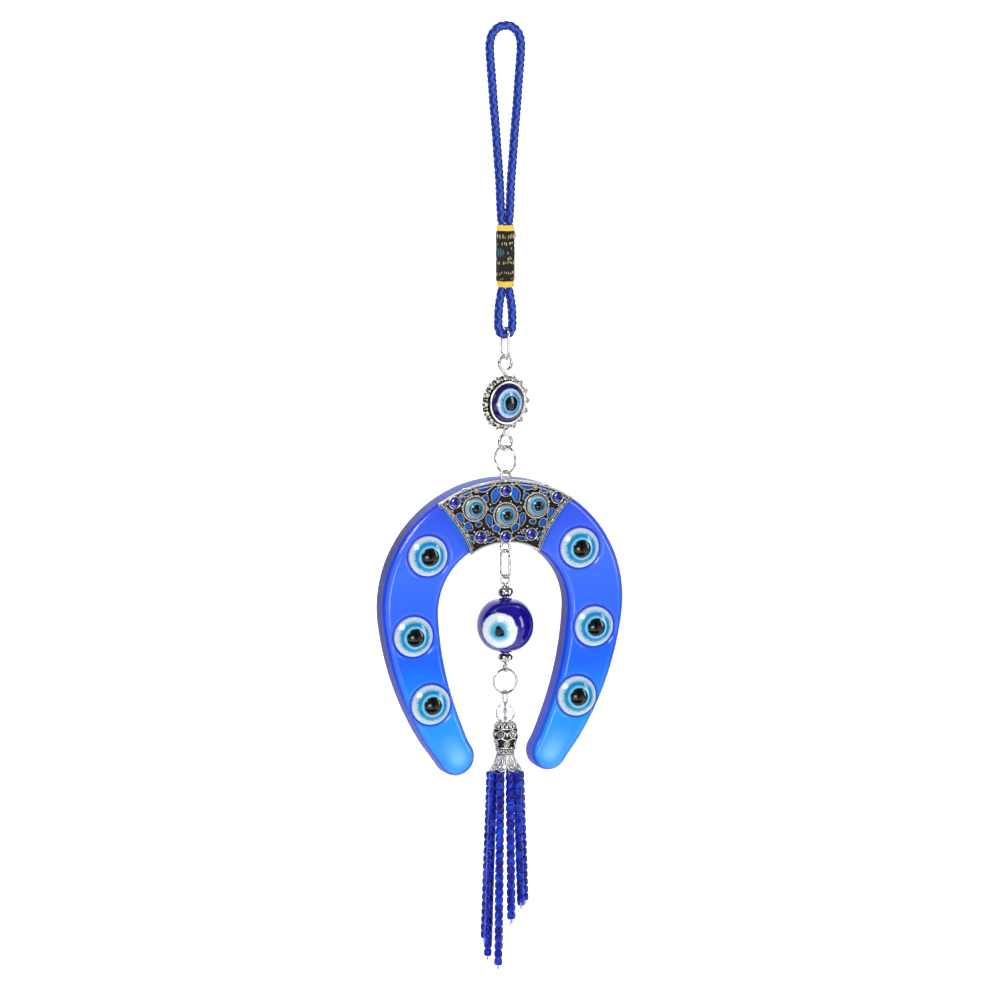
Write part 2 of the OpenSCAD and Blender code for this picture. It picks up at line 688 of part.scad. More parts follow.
module strand_beads(i) {
    bore = thread_d + 0.2;
    color("darkblue") at_strand(i) for (k = [0:strand_seeds[i] - 1])
        translate([0, 0, -seed_start - k * seed_pitch]) difference() {
            intersection() {
                sphere(d = seed_d, $fn = 32);
                translate([0, 0, -seed_h / 2]) cylinder(d = 2 * seed_d, h = seed_h, $fn = 16);
            }
            translate([0, 0, -seed_d]) cylinder(d = bore, h = 2 * seed_d, $fn = 16);
        }
}

module strand_thread(i) {
    length = seed_start + (strand_seeds[i] - 0.5) * seed_pitch + tail;
    color("lavender") at_strand(i) {
        sphere(r = pivot_ball_r);
        translate([0, 0, -length]) cylinder(d = thread_d, h = length);
        translate([0, 0, -length]) sphere(d = thread_d + 0.2);
    }
}

hanging_cord();
top_thread_wrap();
brocade_band();
bottom_thread_wrap();
cord_link();
sun_setting();
sun_eye();
horseshoe_link();
horseshoe_body();
leg_eye(-1, 0);  // leg_eye_left_top
leg_eye(-1, 1);  // leg_eye_left_middle
leg_eye(-1, 2);  // leg_eye_left_low
leg_eye(1, 0);  // leg_eye_right_top
leg_eye(1, 1);  // leg_eye_right_middle
leg_eye(1, 2);  // leg_eye_right_low
filigree_plate();
plate_eye(plate_eyes[0]);  // plate_eye_left
plate_eye(plate_eyes[1]);  // plate_eye_middle
plate_eye(plate_eyes[2]);  // plate_eye_right
rhinestones();
drop_link();
eye_pin();
upper_spacer();
glass_eye_bead();
lower_spacer();
tassel_ring();
tassel_pin();
crystal_bead();
vase_cap();
petal_cap();
thread_knot();
strand_beads(0);  // strand_01_beads
strand_beads(1);  // strand_02_beads
strand_beads(2);  // strand_03_beads
strand_beads(3);  // strand_04_beads
strand_beads(4);  // strand_05_beads
strand_beads(5);  // strand_06_beads
strand_beads(6);  // strand_07_beads
strand_beads(7);  // strand_08_beads
strand_beads(8);  // strand_09_beads
strand_beads(9);  // strand_10_beads
strand_thread(0);  // strand_01_thread
strand_thread(1);  // strand_02_thread
strand_thread(2);  // strand_03_thread
strand_thread(3);  // strand_04_thread
strand_thread(4);  // strand_05_thread
strand_thread(5);  // strand_06_thread
strand_thread(6);  // strand_07_thread
strand_thread(7);  // strand_08_thread
strand_thread(8);  // strand_09_thread
strand_thread(9);  // strand_10_thread
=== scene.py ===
# %% [markdown]
# # An evil eye wall ornament
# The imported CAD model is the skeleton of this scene. Every piece below is built in the same frame, so it
# lies where the skeleton says, and rides on one of its bodies. Loading comes first, because nothing has a
# place before it.

# %% Load the frame
import math
import random

import bmesh
import bpy
import numpy as np
from mathutils import Matrix, Vector


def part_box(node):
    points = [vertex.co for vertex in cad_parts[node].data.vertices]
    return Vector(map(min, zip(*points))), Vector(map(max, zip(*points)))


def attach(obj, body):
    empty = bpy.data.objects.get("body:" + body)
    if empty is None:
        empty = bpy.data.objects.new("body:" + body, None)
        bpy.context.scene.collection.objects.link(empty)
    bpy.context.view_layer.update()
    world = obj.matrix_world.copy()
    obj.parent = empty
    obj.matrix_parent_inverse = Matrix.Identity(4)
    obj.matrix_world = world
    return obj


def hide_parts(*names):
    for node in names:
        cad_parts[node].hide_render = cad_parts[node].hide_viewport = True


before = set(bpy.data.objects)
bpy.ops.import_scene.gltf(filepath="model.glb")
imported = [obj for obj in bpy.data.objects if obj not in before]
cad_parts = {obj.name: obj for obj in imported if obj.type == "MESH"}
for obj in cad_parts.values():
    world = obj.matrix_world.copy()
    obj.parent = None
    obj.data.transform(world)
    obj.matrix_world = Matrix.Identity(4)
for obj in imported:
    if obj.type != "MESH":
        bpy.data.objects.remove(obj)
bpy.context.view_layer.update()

MM = 0.001


def low_mm(node):
    """The low corner of a node's box, in millimetres."""
    return np.array(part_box(node)[0]) / MM


def high_mm(node):
    """The high corner of a node's box, in millimetres."""
    return np.array(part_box(node)[1]) / MM


def mid_mm(node):
    """The middle of a node's box, in millimetres."""
    return (low_mm(node) + high_mm(node)) / 2


def shown(name, data):
    """A new object in the scene."""
    made = bpy.data.objects.new(name, data)
    bpy.context.scene.collection.objects.link(made)
    return made


def eased(share):
    """A share from 0 to 1 that starts and stops gently."""
    return share * share * (3 - 2 * share)


# %% [markdown]
# ## Camera
# The ornament hangs on a wall hook and is seen from the left, a little from above. A long lens keeps the
# tall, thin shape from bending, so the camera stands well back and aims at the middle of the hanging line.

# %% Camera
CAMERA_TURN = -19.0
CAMERA_LIFT = 9.0
CAMERA_DISTANCE = 2400.0
CAMERA_LENS = 286.0
AIM = Vector((-1.5, 0.5, -142.4))


def add_camera():
    turn, lift = math.radians(CAMERA_TURN), math.radians(CAMERA_LIFT)
    back = Vector((math.sin(turn) * math.cos(lift), -math.cos(turn) * math.cos(lift), math.sin(lift)))
    data = bpy.data.cameras.new("camera")
    data.lens = CAMERA_LENS
    data.clip_start = 0.05
    data.clip_end = 20
    camera = shown("camera", data)
    camera.location = (AIM + back * CAMERA_DISTANCE) * MM
    camera.rotation_euler = (-back).to_track_quat("-Z", "Y").to_euler()
    bpy.context.scene.camera = camera
    print("camera at", [round(v, 3) for v in camera.location])


add_camera()

# %% [markdown]
# ## Shapes as plain arrays
# Most pieces here are wires, turned beads and cast scrolls. Two small tools make nearly all of them: a tube
# swept along a line, and a profile turned round an axis. Each keeps a "grain" beside its points, which says
# how far along the wire and where round it a point lies. The materials read the grain, so fibres run along
# a cord and rings of colour stay round on an eye, with no unwrapping.

# %% Shape tools
class Shape:
    """Points in millimetres, faces, the grain of each point, and which of the piece's materials it wears."""

    def __init__(self, points, faces, grain, coat=0):
        self.points = np.asarray(points, float)
        self.faces = faces
        self.grain = np.asarray(grain, float)
        self.coat = coat

    def moved(self, matrix):
        turned = self.points @ np.array(matrix.to_3x3()).T + np.array(matrix.translation)
        faces = self.faces if matrix.determinant() > 0 else [f[::-1] for f in self.faces]
        return Shape(turned, faces, self.grain, self.coat)

    def wearing(self, coat):
        return Shape(self.points, self.faces, self.grain, coat)


def grid_faces(rows, columns, wrap_rows=False):
    """Faces between neighbouring closed rows of points, as on a net."""
    faces = []
    for i in range(rows if wrap_rows else rows - 1):
        for j in range(columns):
            up, right = (i + 1) % rows, (j + 1) % columns
            faces.append((i * columns + j, i * columns + right, up * columns + right, up * columns + j))
    return faces


def run_along(line):
    """How far along the line each point lies."""
    return np.concatenate([[0], np.cumsum(np.linalg.norm(np.diff(line, axis=0), axis=1))])


def unit(vectors):
    return vectors / np.linalg.norm(vectors, axis=1)[:, None]


def frames_along(line, closed=False, up=None):
    """Two sideways directions at each point of a line, turning as little as they can."""
    if closed:
        tangent = unit(np.roll(line, -1, 0) - np.roll(line, 1, 0))
    else:
        tangent = unit(np.gradient(line, axis=0))
    current = np.array(up if up is not None else (0.0, 1.0, 0.0), float)
    if abs(tangent[0] @ current) > 0.95:
        current = np.array((1.0, 0.0, 0.0))
    side = np.empty_like(line)
    for i, t in enumerate(tangent):
        if up is not None:
            current = np.array(up, float)
        current = current - t * (current @ t)
        current /= np.linalg.norm(current)
        side[i] = current
    return side, np.cross(tangent, side)


def swept(line, across, outward, width, thick, sides, grain, closed=False):
    """An oval swept along a line between two sideways directions. Its sizes may change along the line."""
    angle = np.arange(sides) * 2 * math.pi / sides
    wide, deep = (np.broadcast_to(size, len(line))[:, None, None] / 2 for size in (width, thick))
    oval = (np.cos(angle)[None, :, None] * across[:, None, :] * wide
            + np.sin(angle)[None, :, None] * outward[:, None, :] * deep)
    faces = grid_faces(len(line), sides, wrap_rows=closed)
    if not closed:
        faces += [tuple(range(sides))[::-1], tuple((len(line) - 1) * sides + k for k in range(sides))]
    around = [np.tile(turned, len(line)) * size
              for turned, size in zip((np.cos(angle), np.sin(angle)), grain)]
    return Shape((line[:, None, :] + oval).reshape(-1, 3), faces,
                 np.stack([np.repeat(run_along(line), sides), *around], axis=1))


def tube(line, width, thick=None, sides=10, closed=False, up=None, ends=None):
    """A wire along a line. ends gives the size's share at each point, for tapers."""
    line = np.asarray(line, float)
    thick = width if thick is None else thick
    side, other = frames_along(line, closed, up)
    share = np.ones(len(line)) if ends is None else np.asarray(ends, float)
    return swept(line, other, side, width * share, thick * share, sides, (width / 2, thick / 2), closed)


def lathe(profile, steps=48):
    """A profile of (radius, height) turned round Z. A radius of 0 closes it."""
    angle = np.arange(steps) * 2 * math.pi / steps
    profile = np.asarray(profile, float)
    radius = np.maximum(profile[:, 0], 1e-4)[:, None]
    height = np.repeat(profile[:, 1:2], steps, axis=1)
    points = np.stack([radius * np.cos(angle), radius * np.sin(angle), height], axis=2).reshape(-1, 3)
    faces = [f[::-1] for f in grid_faces(len(profile), steps)]
    return Shape(points, faces, np.stack([points[:, 2], points[:, 0], points[:, 1]], axis=1))


def ball(centre, radius, steps=12):
    """A small cast or turned granule."""
    turns = [math.pi * i / (steps // 2) for i in range(steps // 2 + 1)]
    shape = lathe([(radius * math.sin(t), radius * math.cos(t)) for t in turns], steps)
    return shape.moved(Matrix.Translation(Vector(centre)))


def ring(centre, radius, wire, sides=10, steps=48, normal="y"):
    """A closed round wire whose hole looks along the named axis."""
    angle = np.arange(steps) * 2 * math.pi / steps
    flat = [np.cos(angle), np.sin(angle)]
    flat.insert(1 if normal == "y" else 2, 0 * angle)
    up = (0, 1, 0) if normal == "y" else (0, 0, 1)
    return tube(np.stack(flat, axis=1) * radius + np.array(centre), wire, sides=sides, closed=True, up=up)


def smooth_line(points, step):
    """A smooth line through given points, at even steps."""
    points = np.asarray(points, float)
    padded = np.vstack([2 * points[0] - points[1], points, 2 * points[-1] - points[-2]])
    fine = []
    for a, b, c, d in zip(padded[:-3], padded[1:-2], padded[2:-1], padded[3:]):
        for t in np.linspace(0, 1, 24, endpoint=False):
            fine.append(0.5 * (2 * b + (c - a) * t + (2 * a - 5 * b + 4 * c - d) * t**2
                               + (3 * b - a - 3 * c + d) * t**3))
    fine = np.array(fine + [points[-1]])
    run = run_along(fine)
    even = np.linspace(0, run[-1], max(3, int(run[-1] / step)))
    return np.stack([np.interp(even, run, fine[:, k]) for k in range(3)], axis=1)


print("shape tools ready")

# %% [markdown]
# A piece is one mesh with its materials, riding on one body. Smooth shading hides the facets, and edges
# sharper than a set angle stay crisp, as on a cast or cut part.

# %% Make a piece
def piece(name, shapes, body, materials, stands_for=(), crease=40):
    """Joins shapes into one mesh object that rides on a body and wears the given materials, one for each
    coat.
    """
    points = np.vstack([s.points for s in shapes]) * MM
    starts = np.cumsum([0] + [len(s.points) for s in shapes[:-1]])
    faces = [tuple(i + start for i in f) for s, start in zip(shapes, starts) for f in s.faces]
    mesh = bpy.data.meshes.new(name)
    mesh.from_pydata(points.tolist(), [], faces)
    grain = mesh.attributes.new("grain", "FLOAT_VECTOR", "POINT")
    grain.data.foreach_set("vector", np.vstack([s.grain for s in shapes]).astype(np.float32).ravel())
    for material in materials:
        mesh.materials.append(material)
    coats = np.repeat([s.coat for s in shapes], [len(s.faces) for s in shapes])
    mesh.polygons.foreach_set("material_index", coats.astype(np.int32))
    mesh.polygons.foreach_set("use_smooth", np.ones(len(faces), bool))
    mesh.validate()
    outward = bmesh.new()
    outward.from_mesh(mesh)
    bmesh.ops.recalc_face_normals(outward, faces=outward.faces)
    outward.to_mesh(mesh)
    outward.free()
    mesh.set_sharp_from_angle(angle=math.radians(crease))
    mesh.update()
    made = shown(name, mesh)
    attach(made, body)
    if stands_for:
        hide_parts(*stands_for)
    print(f"{name}: {len(points)} points, {len(faces)} faces")
    return made


# %% [markdown]
# ## Materials
# Every finish is a Principled shader fed by a little texture. The helper below starts one: uniform values
# go on the shader's own sockets, and what varies over the surface comes in by nodes.

# %% Material helpers
IN_MM = (1000, 1000, 1000)


class Finish:
    """A material under construction: its nodes, its shader, and short ways to add textures."""

    def __init__(self, name, **values):
        self.material = bpy.data.materials.new(name)
        self.material.use_nodes = True
        self.tree = self.material.node_tree
        self.shader = self.tree.nodes["Principled BSDF"]
        for socket, value in values.items():
            self.shader.inputs[socket.replace("_", " ")].default_value = value

    def add(self, kind, **values):
        node = self.tree.nodes.new("ShaderNode" + kind)
        for key, value in values.items():
            if hasattr(node, key):
                setattr(node, key, value)
            else:
                node.inputs[key.replace("_", " ")].default_value = value
        return node

    def link(self, a, b):
        self.tree.links.new(a, b)

    def place(self, source, scale=(1, 1, 1)):
        """Texture coordinates from the grain or from the object, stretched by three factors."""
        if source == "grain":
            start = self.add("Attribute", attribute_name="grain").outputs["Vector"]
        else:
            start = self.add("TexCoord").outputs["Object"]
        mapping = self.add("Mapping")
        mapping.inputs["Scale"].default_value = scale
        self.link(start, mapping.inputs["Vector"])
        return mapping.outputs["Vector"]

    def noise(self, where, scale=1.0, detail=3.0, rough=0.5):
        node = self.add("TexNoise", Scale=scale, Detail=detail, Roughness=rough)
        self.link(where, node.inputs["Vector"])
        return node.outputs["Fac"]

    def ramp(self, value, stops):
        """A colour for each value, between (place, colour) stops."""
        node = self.add("ValToRGB")
        while len(node.color_ramp.elements) < len(stops):
            node.color_ramp.elements.new(0.5)
        for element, (at, colour) in zip(node.color_ramp.elements, stops):
            element.position = at
            element.color = (*colour, 1)
        self.link(value, node.inputs["Fac"])
        return node.outputs["Color"]

    def remap(self, value, start, stop, low=0.0, high=1.0, how="LINEAR"):
        """Carries a value from one range to another, and holds it at the ends."""
        node = self.add("MapRange", interpolation_type=how)
        for socket, given in (("From Min", start), ("From Max", stop), ("To Min", low), ("To Max", high)):
            node.inputs[socket].default_value = given
        self.link(value, node.inputs["Value"])
        return node.outputs["Result"]

    def span(self, value, low, high):
        """Carries a 0 to 1 value to another range."""
        return self.remap(value, 0, 1, low, high)

    def split(self, where):
        """The three parts of a place or a colour."""
        node = self.add("SeparateXYZ")
        self.link(where, node.inputs[0])
        return node.outputs

    def given(self, socket, value):
        """A socket takes a number or a colour as its own value, and anything else as a link."""
        if isinstance(value, (int, float)):
            socket.default_value = value
        elif isinstance(value, tuple):
            socket.default_value = (*value, 1)
        else:
            self.link(value, socket)

    def mix(self, share, a, b):
        """Colour a, with a share of colour b in its place."""
        node = self.add("Mix", data_type="RGBA")
        for socket, value in ((node.inputs["Factor"], share), (node.inputs[6], a), (node.inputs[7], b)):
            self.given(socket, value)
        return node.outputs[2]

    def maths(self, how, a, b=0.0):
        node = self.add("Math", operation=how)
        for socket, value in zip(node.inputs, (a, b)):
            self.given(socket, value)
        return node.outputs[0]

    def added(self, a, b):
        return self.maths("ADD", a, b)

    def times(self, a, b):
        return self.maths("MULTIPLY", a, b)

    def less(self, a, b):
        return self.maths("SUBTRACT", a, b)

    def away(self, a, b):
        """The distance from the middle, from two parts of a place."""
        return self.maths("SQRT", self.added(self.times(a, a), self.times(b, b)))

    def ragged(self, where, scale, detail, reach):
        """A wavering about zero."""
        return self.times(self.less(self.noise(where, scale, detail), 0.5), reach)

    def cells(self, where, scale):
        """Chance values, one set for each cell of a pattern."""
        node = self.add("TexVoronoi", Scale=scale)
        self.link(where, node.inputs["Vector"])
        return self.split(node.outputs["Color"])

    def bump(self, height, strength, depth_mm):
        node = self.add("Bump", Strength=strength, Distance=depth_mm * MM)
        self.link(height, node.inputs["Height"])
        self.link(node.outputs["Normal"], self.shader.inputs["Normal"])

    def feed(self, socket, value):
        self.link(value, self.shader.inputs[socket])


print("material helpers ready")

# %% [markdown]
# ## The cord
# The real cord is a braid of eight flat satin bundles, four winding each way and passing over and under
# each other. A plain tube with a braid texture would keep a smooth outline, so the eight bundles are made
# as real tubes: each winds round the cord's middle line, and rises and dips as it crosses the others. The
# middle line repeats the route that the CAD cord follows, and the band squeezes the cord inside it.

# %% Satin finish
FIBRE_STRETCH = (0.7, 9.0, 9.0)
CREASE_SHADE_REACH = 0.7
EDGE_SHADE_TONE = 0.35


def satin(name, dark, light, sheen):
    """Fine fibres that run along the thread, with painted shade in the creases and along its edges."""
    finish = Finish(name, Roughness=0.42, Sheen_Weight=sheen, Sheen_Roughness=0.35, Anisotropic=0.5)
    fibres = finish.noise(finish.place("grain", FIBRE_STRETCH), 1.6, 4.0)
    patches = finish.noise(finish.place("grain", (0.35, 1, 1)), 0.8, 2.0)
    # Painted shade: ambient occlusion darkens the colour in the creases between bundles and windings.
    crease = finish.add("AmbientOcclusion", samples=5, Distance=CREASE_SHADE_REACH * MM)
    tone = finish.added(finish.times(fibres, 0.75), finish.times(patches, 0.25))
    tone = finish.less(finish.added(tone, finish.times(crease.outputs["AO"], 0.55)), 0.42)
    # Painted shade: the colour darkens towards the edges of each bundle, where it turns away under its
    # neighbours.
    from_middle = finish.maths("ABSOLUTE", finish.split(finish.place("grain"))[1])
    tone = finish.times(tone, finish.remap(from_middle, 0.28, 0.6, 1.0, EDGE_SHADE_TONE))
    finish.feed("Base Color", finish.ramp(tone, [(0.22, dark), (0.66, light)]))
    finish.feed("Roughness", finish.span(fibres, 0.3, 0.55))
    finish.bump(fibres, 0.6, 0.08)
    return finish.material


satin_blue = satin("satin_blue", (0.001, 0.008, 0.17), (0.020, 0.092, 0.66), 0.04)
# Painted shade: the core is a darker satin, so the gaps between the bundles read as shade.
shaded_core_blue = satin("shaded_core_blue", (0.001, 0.006, 0.12), (0.006, 0.03, 0.34), 0.0)
print("satin finish ready")

# %% Route of the cord
CORD_D = 2.8
SQUEEZED_D = 2.3
LEG_APART = 1.2
CORD_ROUTE = [
    (-1.2, -67), (-1.2, -62), (-1.2, -57.8), (-1.5, -53), (-1.8, -46), (-2.4, -38), (-3, -30),
    (-3.7, -22), (-4.3, -14), (-4.8, -8), (-4.9, -4), (-4.2, -1.2), (-2.4, 0.8), (0, 1.4),
    (2.4, 0.8), (4.2, -1.2), (4.9, -4), (4.8, -8), (4.3, -14), (3.7, -22), (3, -30),
    (2.4, -38), (1.8, -46), (1.5, -53), (1.2, -57.8), (1.2, -62), (1.2, -68), (1.2, -74),
    (1.2, -78.2), (1.6, -80.8), (2, -83.4), (2.2, -86.4), (2.2, -89.2), (1.85, -90.9), (1, -91.7),
    (0, -91.8), (-1, -91.7), (-1.85, -90.9), (-2.2, -89.2), (-2.2, -86.4), (-2, -83.4), (-1.6, -80.8),
    (-1.2, -78.2), (-1.2, -74), (-1.2, -70),
]
cord_line = smooth_line([(x, 0, z) for x, z in CORD_ROUTE], 0.35)
squeeze_low, squeeze_high = low_mm("bottom_thread_wrap")[2], high_mm("top_thread_wrap")[2]


# %% Braid the cord
def cord_radius(z):
    """Full outside the band, squeezed inside it, easing over two millimetres."""
    inside = np.clip((z - squeeze_low + 2) / 2, 0, 1) * np.clip((squeeze_high + 2 - z) / 2, 0, 1)
    return (CORD_D + (SQUEEZED_D - CORD_D) * eased(inside)) / 2


BRAID_PITCH, BUNDLES_EACH_WAY = 13.0, 4
# Shares of the cord's radius.
BUNDLE_REACH, BUNDLE_RISE, BUNDLE_WIDTH, BUNDLE_THICK, CORE_WIDTH = 0.56, 0.22, 0.84, 0.52, 1.05


def flat_tube(line, out, width, thick):
    """An oval tube whose flat side faces outwards, with its own width and thickness at each point."""
    tangent = unit(np.gradient(line, axis=0))
    across = unit(np.cross(tangent, out))
    return swept(line, across, np.cross(across, tangent), width, thick, 12, (0.6, 0.4))


def braided_cord():
    """The bundles that wind each way, rising and dipping where they cross, round a core tube darker than them
    as painted shade in the gaps.
    """
    side, other = frames_along(cord_line, up=(0, 1, 0))
    turn = run_along(cord_line) * 2 * math.pi / BRAID_PITCH
    full = cord_radius(cord_line[:, 2])
    bundles = []
    for way in (1, -1):
        for k in range(BUNDLES_EACH_WAY):
            angle = way * turn + (k + (0 if way > 0 else 0.5)) * 2 * math.pi / BUNDLES_EACH_WAY
            wave = way * np.cos(BUNDLES_EACH_WAY * turn)
            reach = full * (BUNDLE_REACH + BUNDLE_RISE * wave)
            out = np.cos(angle)[:, None] * other + np.sin(angle)[:, None] * side
            line = cord_line + out * reach[:, None]
            bundle = flat_tube(line, out, full * BUNDLE_WIDTH, full * BUNDLE_THICK)
            bundle.grain[:, 0] += 37 * (k + 5 * (way > 0))
            bundles.append(bundle)
    return bundles + [flat_tube(cord_line, side, full * CORE_WIDTH, full * CORE_WIDTH).wearing(1)]


cord = piece("satin_cord", braided_cord(), "cord", [satin_blue, shaded_core_blue], ["hanging_cord"],
             crease=70)

# %% [markdown]
# ## Thread wraps and brocade band
# The band is a strip of brocade glued round both runs of the cord, and golden thread is wound above and
# below it. Both follow a stadium: two half circles round the cord's runs, joined by straights. The threads
# are one long helix on that stadium, so each winding shows. The brocade's dashes are floats of metal thread
# that lie on the cloth, so they are small raised tubes too.

# %% Stadium
def stadium(turn, radius):
    """A point on the stadium at a share of its way round, and the outward direction there."""
    straight, arc = 2 * LEG_APART, math.pi * radius
    run = (turn % 1.0) * 2 * (straight + arc)
    if run < straight:
        return (run - LEG_APART, -radius), (0, -1)
    run -= straight
    if run < arc:
        a = -math.pi / 2 + run / radius
        return (LEG_APART + radius * math.cos(a), radius * math.sin(a)), (math.cos(a), math.sin(a))
    run -= arc
    if run < straight:
        return (LEG_APART - run, radius), (0, 1)
    a = math.pi / 2 + (run - straight) / radius
    return (-LEG_APART + radius * math.cos(a), radius * math.sin(a)), (math.cos(a), math.sin(a))


def wound_thread(node, thread=0.27, windings_per_mm=4.3):
    """One thread wound as a helix over the height of a CAD sleeve, close enough to hide the cord."""
    low, high = low_mm(node), high_mm(node)
    outer = high[1]
    windings = int((high[2] - low[2]) * windings_per_mm)
    line = []
    for i in range(windings * 40 + 1):
        (x, y), _ = stadium(i / 40, outer - thread / 2)
        line.append((x, y, low[2] + thread / 2 + (high[2] - low[2] - thread) * i / (windings * 40)))
    return [tube(line, thread, sides=8)]


golden_satin = satin("golden_satin", (0.80, 0.42, 0.02), (1.0, 0.74, 0.12), 0.4)
for node in ("top_thread_wrap", "bottom_thread_wrap"):
    piece(node.replace("wrap", "windings"), wound_thread(node), "cord", [golden_satin],
          [node], crease=70)


# %% Brocade finish
def woven(name, dark, light):
    """Crossed warp and weft of a dark cloth."""
    finish = Finish(name, Roughness=0.85, Sheen_Weight=0.05, Sheen_Roughness=0.5)
    where = finish.place("grain")
    threads = [finish.add("TexWave", Scale=scale, bands_direction=way, Distortion=0.6, Detail=1.0)
               for way, scale in (("X", 1.9), ("Y", 2.4))]
    for wave in threads:
        finish.link(where, wave.inputs["Vector"])
    weave = finish.times(*(wave.outputs["Fac"] for wave in threads))
    tone = finish.added(finish.times(weave, 0.6), finish.times(finish.noise(where, 3.0, 4.0), 0.4))
    finish.feed("Base Color", finish.ramp(tone, [(0.15, dark), (0.75, light)]))
    finish.bump(weave, 0.7, 0.12)
    return finish.material


brocade_cloth = woven("brocade_cloth", (0.003, 0.002, 0.002), (0.030, 0.017, 0.013))
gold_thread = satin("gold_metal_thread", (0.42, 0.26, 0.05), (0.95, 0.80, 0.36), 0.2)
teal_thread = satin("teal_silk", (0.0, 0.12, 0.13), (0.02, 0.42, 0.42), 0.5)

# %% Band of brocade
band_high, band_low_z = high_mm("brocade_band"), low_mm("brocade_band")[2]
band_height = band_high[2] - band_low_z
BAND_STEPS, BAND_ROWS = 150, 64
LAP_FROM, LAP_TO, LAP_THICK = 0.41, 0.5, 0.16


def band_cloth(rng):
    """The strip: an outer and an inner skin, wavy along both cut edges, with a lapped seam at the right."""
    outer = band_high[1] - 0.06
    around = 2 * (2 * LEG_APART + math.pi * outer)
    points, grain = [], []
    waves = [rng.uniform(0, 6.3) for _ in range(4)]
    for skin in (0, 1):
        for i in range(BAND_ROWS + 1):
            share = i / BAND_ROWS if skin == 0 else 1 - i / BAND_ROWS
            for j in range(BAND_STEPS):
                turn = j / BAND_STEPS
                (x, y), (nx, ny) = stadium(turn, outer)
                edge = 0.10 * math.sin(turn * 12.6 + waves[0]) + 0.07 * math.sin(turn * 37.7 + waves[1])
                lift = 0.03 * math.sin(share * 21 + waves[2]) + 0.02 * math.sin(turn * 25 + waves[3])
                lap = LAP_THICK if LAP_FROM < turn < LAP_TO else 0.0
                push = lift + lap if skin == 0 else -0.3
                z = band_low_z + share * band_height + edge * (2 * share - 1)
                points.append((x + nx * push, y + ny * push, z))
                grain.append((turn * around * 2, z * 2, 0))
    faces = grid_faces(2 * (BAND_ROWS + 1), BAND_STEPS, wrap_rows=True)
    return Shape(points, faces, grain)


def dash(turn, z, length, wide, coat, lean=0.0):
    """One float of thread lying up the cloth."""
    outer = band_high[1] - 0.02
    line = []
    for t in np.linspace(-0.5, 0.5, 7):
        (x, y), (nx, ny) = stadium(turn + lean * t, outer)
        rise = 0.10 * (1 - (2 * t) ** 4)
        line.append((x + nx * (rise - 0.03), y + ny * (rise - 0.03), z + t * length))
    ends = [0.3, 0.85, 1, 1, 1, 0.85, 0.3]
    return tube(line, wide, 0.14, 8, ends=ends).wearing(coat)


# Each row: share of the band's height, length in mm, how many fit round, and the share that is there.
DASH_ROWS = [(0.89, 1.2, 28, 0.8), (0.75, 0.9, 32, 0.75), (0.64, 0.8, 30, 0.6), (0.55, 0.8, 30, 0.6),
             (0.46, 0.8, 30, 0.65), (0.37, 1.0, 28, 0.75), (0.16, 0.9, 28, 0.8), (0.04, 0.5, 20, 0.35)]
TEAL_EYES, TEAL_LENGTHS = (0.94, 0.44), (1.56, 2.4, 2.88, 2.52, 1.56)


def band_dashes(rng):
    """Rows of gold floats with gaps, and a teal eye of silk at the front left and the back."""
    made = []
    for share, length, count, keep in DASH_ROWS:
        for k in range(count):
            turn = (k + rng.uniform(-0.25, 0.25)) / count
            near_eye = min(abs((turn - c + 0.5) % 1 - 0.5) for c in TEAL_EYES) < 0.09
            if rng.random() > keep or (near_eye and 0.45 < share < 0.7):
                continue
            z = band_low_z + band_height * share + rng.uniform(-0.25, 0.25)
            made.append(dash(turn, z, length * rng.uniform(0.6, 1.35), rng.uniform(0.16, 0.26), 1,
                             rng.uniform(-0.01, 0.01)))
    for middle in TEAL_EYES:
        for k, length in enumerate(TEAL_LENGTHS):
            made.append(dash(middle + (k - 2) * 0.033, band_low_z + band_height * 0.575, length, 0.19, 2))
    return made


def frayed_ends(rng):
    """Loose threads at the strip's cut corner, at the top right."""
    made = []
    for k in range(9):
        (x, y), (nx, ny) = stadium(0.27 + 0.03 * rng.random(), band_high[1])
        start = np.array((x - nx * 0.1, y - ny * 0.1, band_high[2] - 0.3 - 0.2 * k * rng.random()))
        reach = rng.uniform(0.5, 1.2)
        bend = np.array((rng.uniform(0.5, 1.0), rng.uniform(-0.7, 0.5), rng.uniform(-1.1, 0.6)))
        line = [start + bend * reach * t + np.array((0, 0, -0.5 * reach * t * t))
                for t in np.linspace(0, 1, 6)]
        made.append(tube(line, 0.11, sides=6, ends=[1, 1, 0.9, 0.8, 0.7, 0.4]))
    return made


rng = random.Random(4)
piece("brocade_strip", [band_cloth(rng), *band_dashes(rng), *frayed_ends(rng)], "cord",
      [brocade_cloth, gold_thread, teal_thread], ["brocade_band"], crease=70)

# %% [markdown]
# ## Silver
# Two silvers hang here. The jump rings, pins and spacers are bright plate with fine scratches. The sun, the
# plate and the caps are antiqued: a dark wash was left in every recess and polished off what stands proud.
# Ambient occlusion tells the shader how deep in a recess a point lies, so the wash goes where it would
# really stay.

# %% Silver finishes
def bright_silver(name):
    finish = Finish(name, Metallic=1.0)
    scratches = finish.noise(finish.place("object", (900, 2600, 300)), 1.2, 5.0)
    tarnish = finish.noise(finish.place("object", IN_MM), 0.35, 3.0)
    finish.feed("Base Color", finish.ramp(tarnish, [(0.3, (0.44, 0.43, 0.41)), (0.65, (0.66, 0.65, 0.63))]))
    finish.feed("Roughness", finish.span(scratches, 0.10, 0.24))
    finish.bump(scratches, 0.12, 0.02)
    return finish.material


WASH, WASH_GONE, SHINE_FROM = (0.010, 0.009, 0.008), 0.44, 0.78


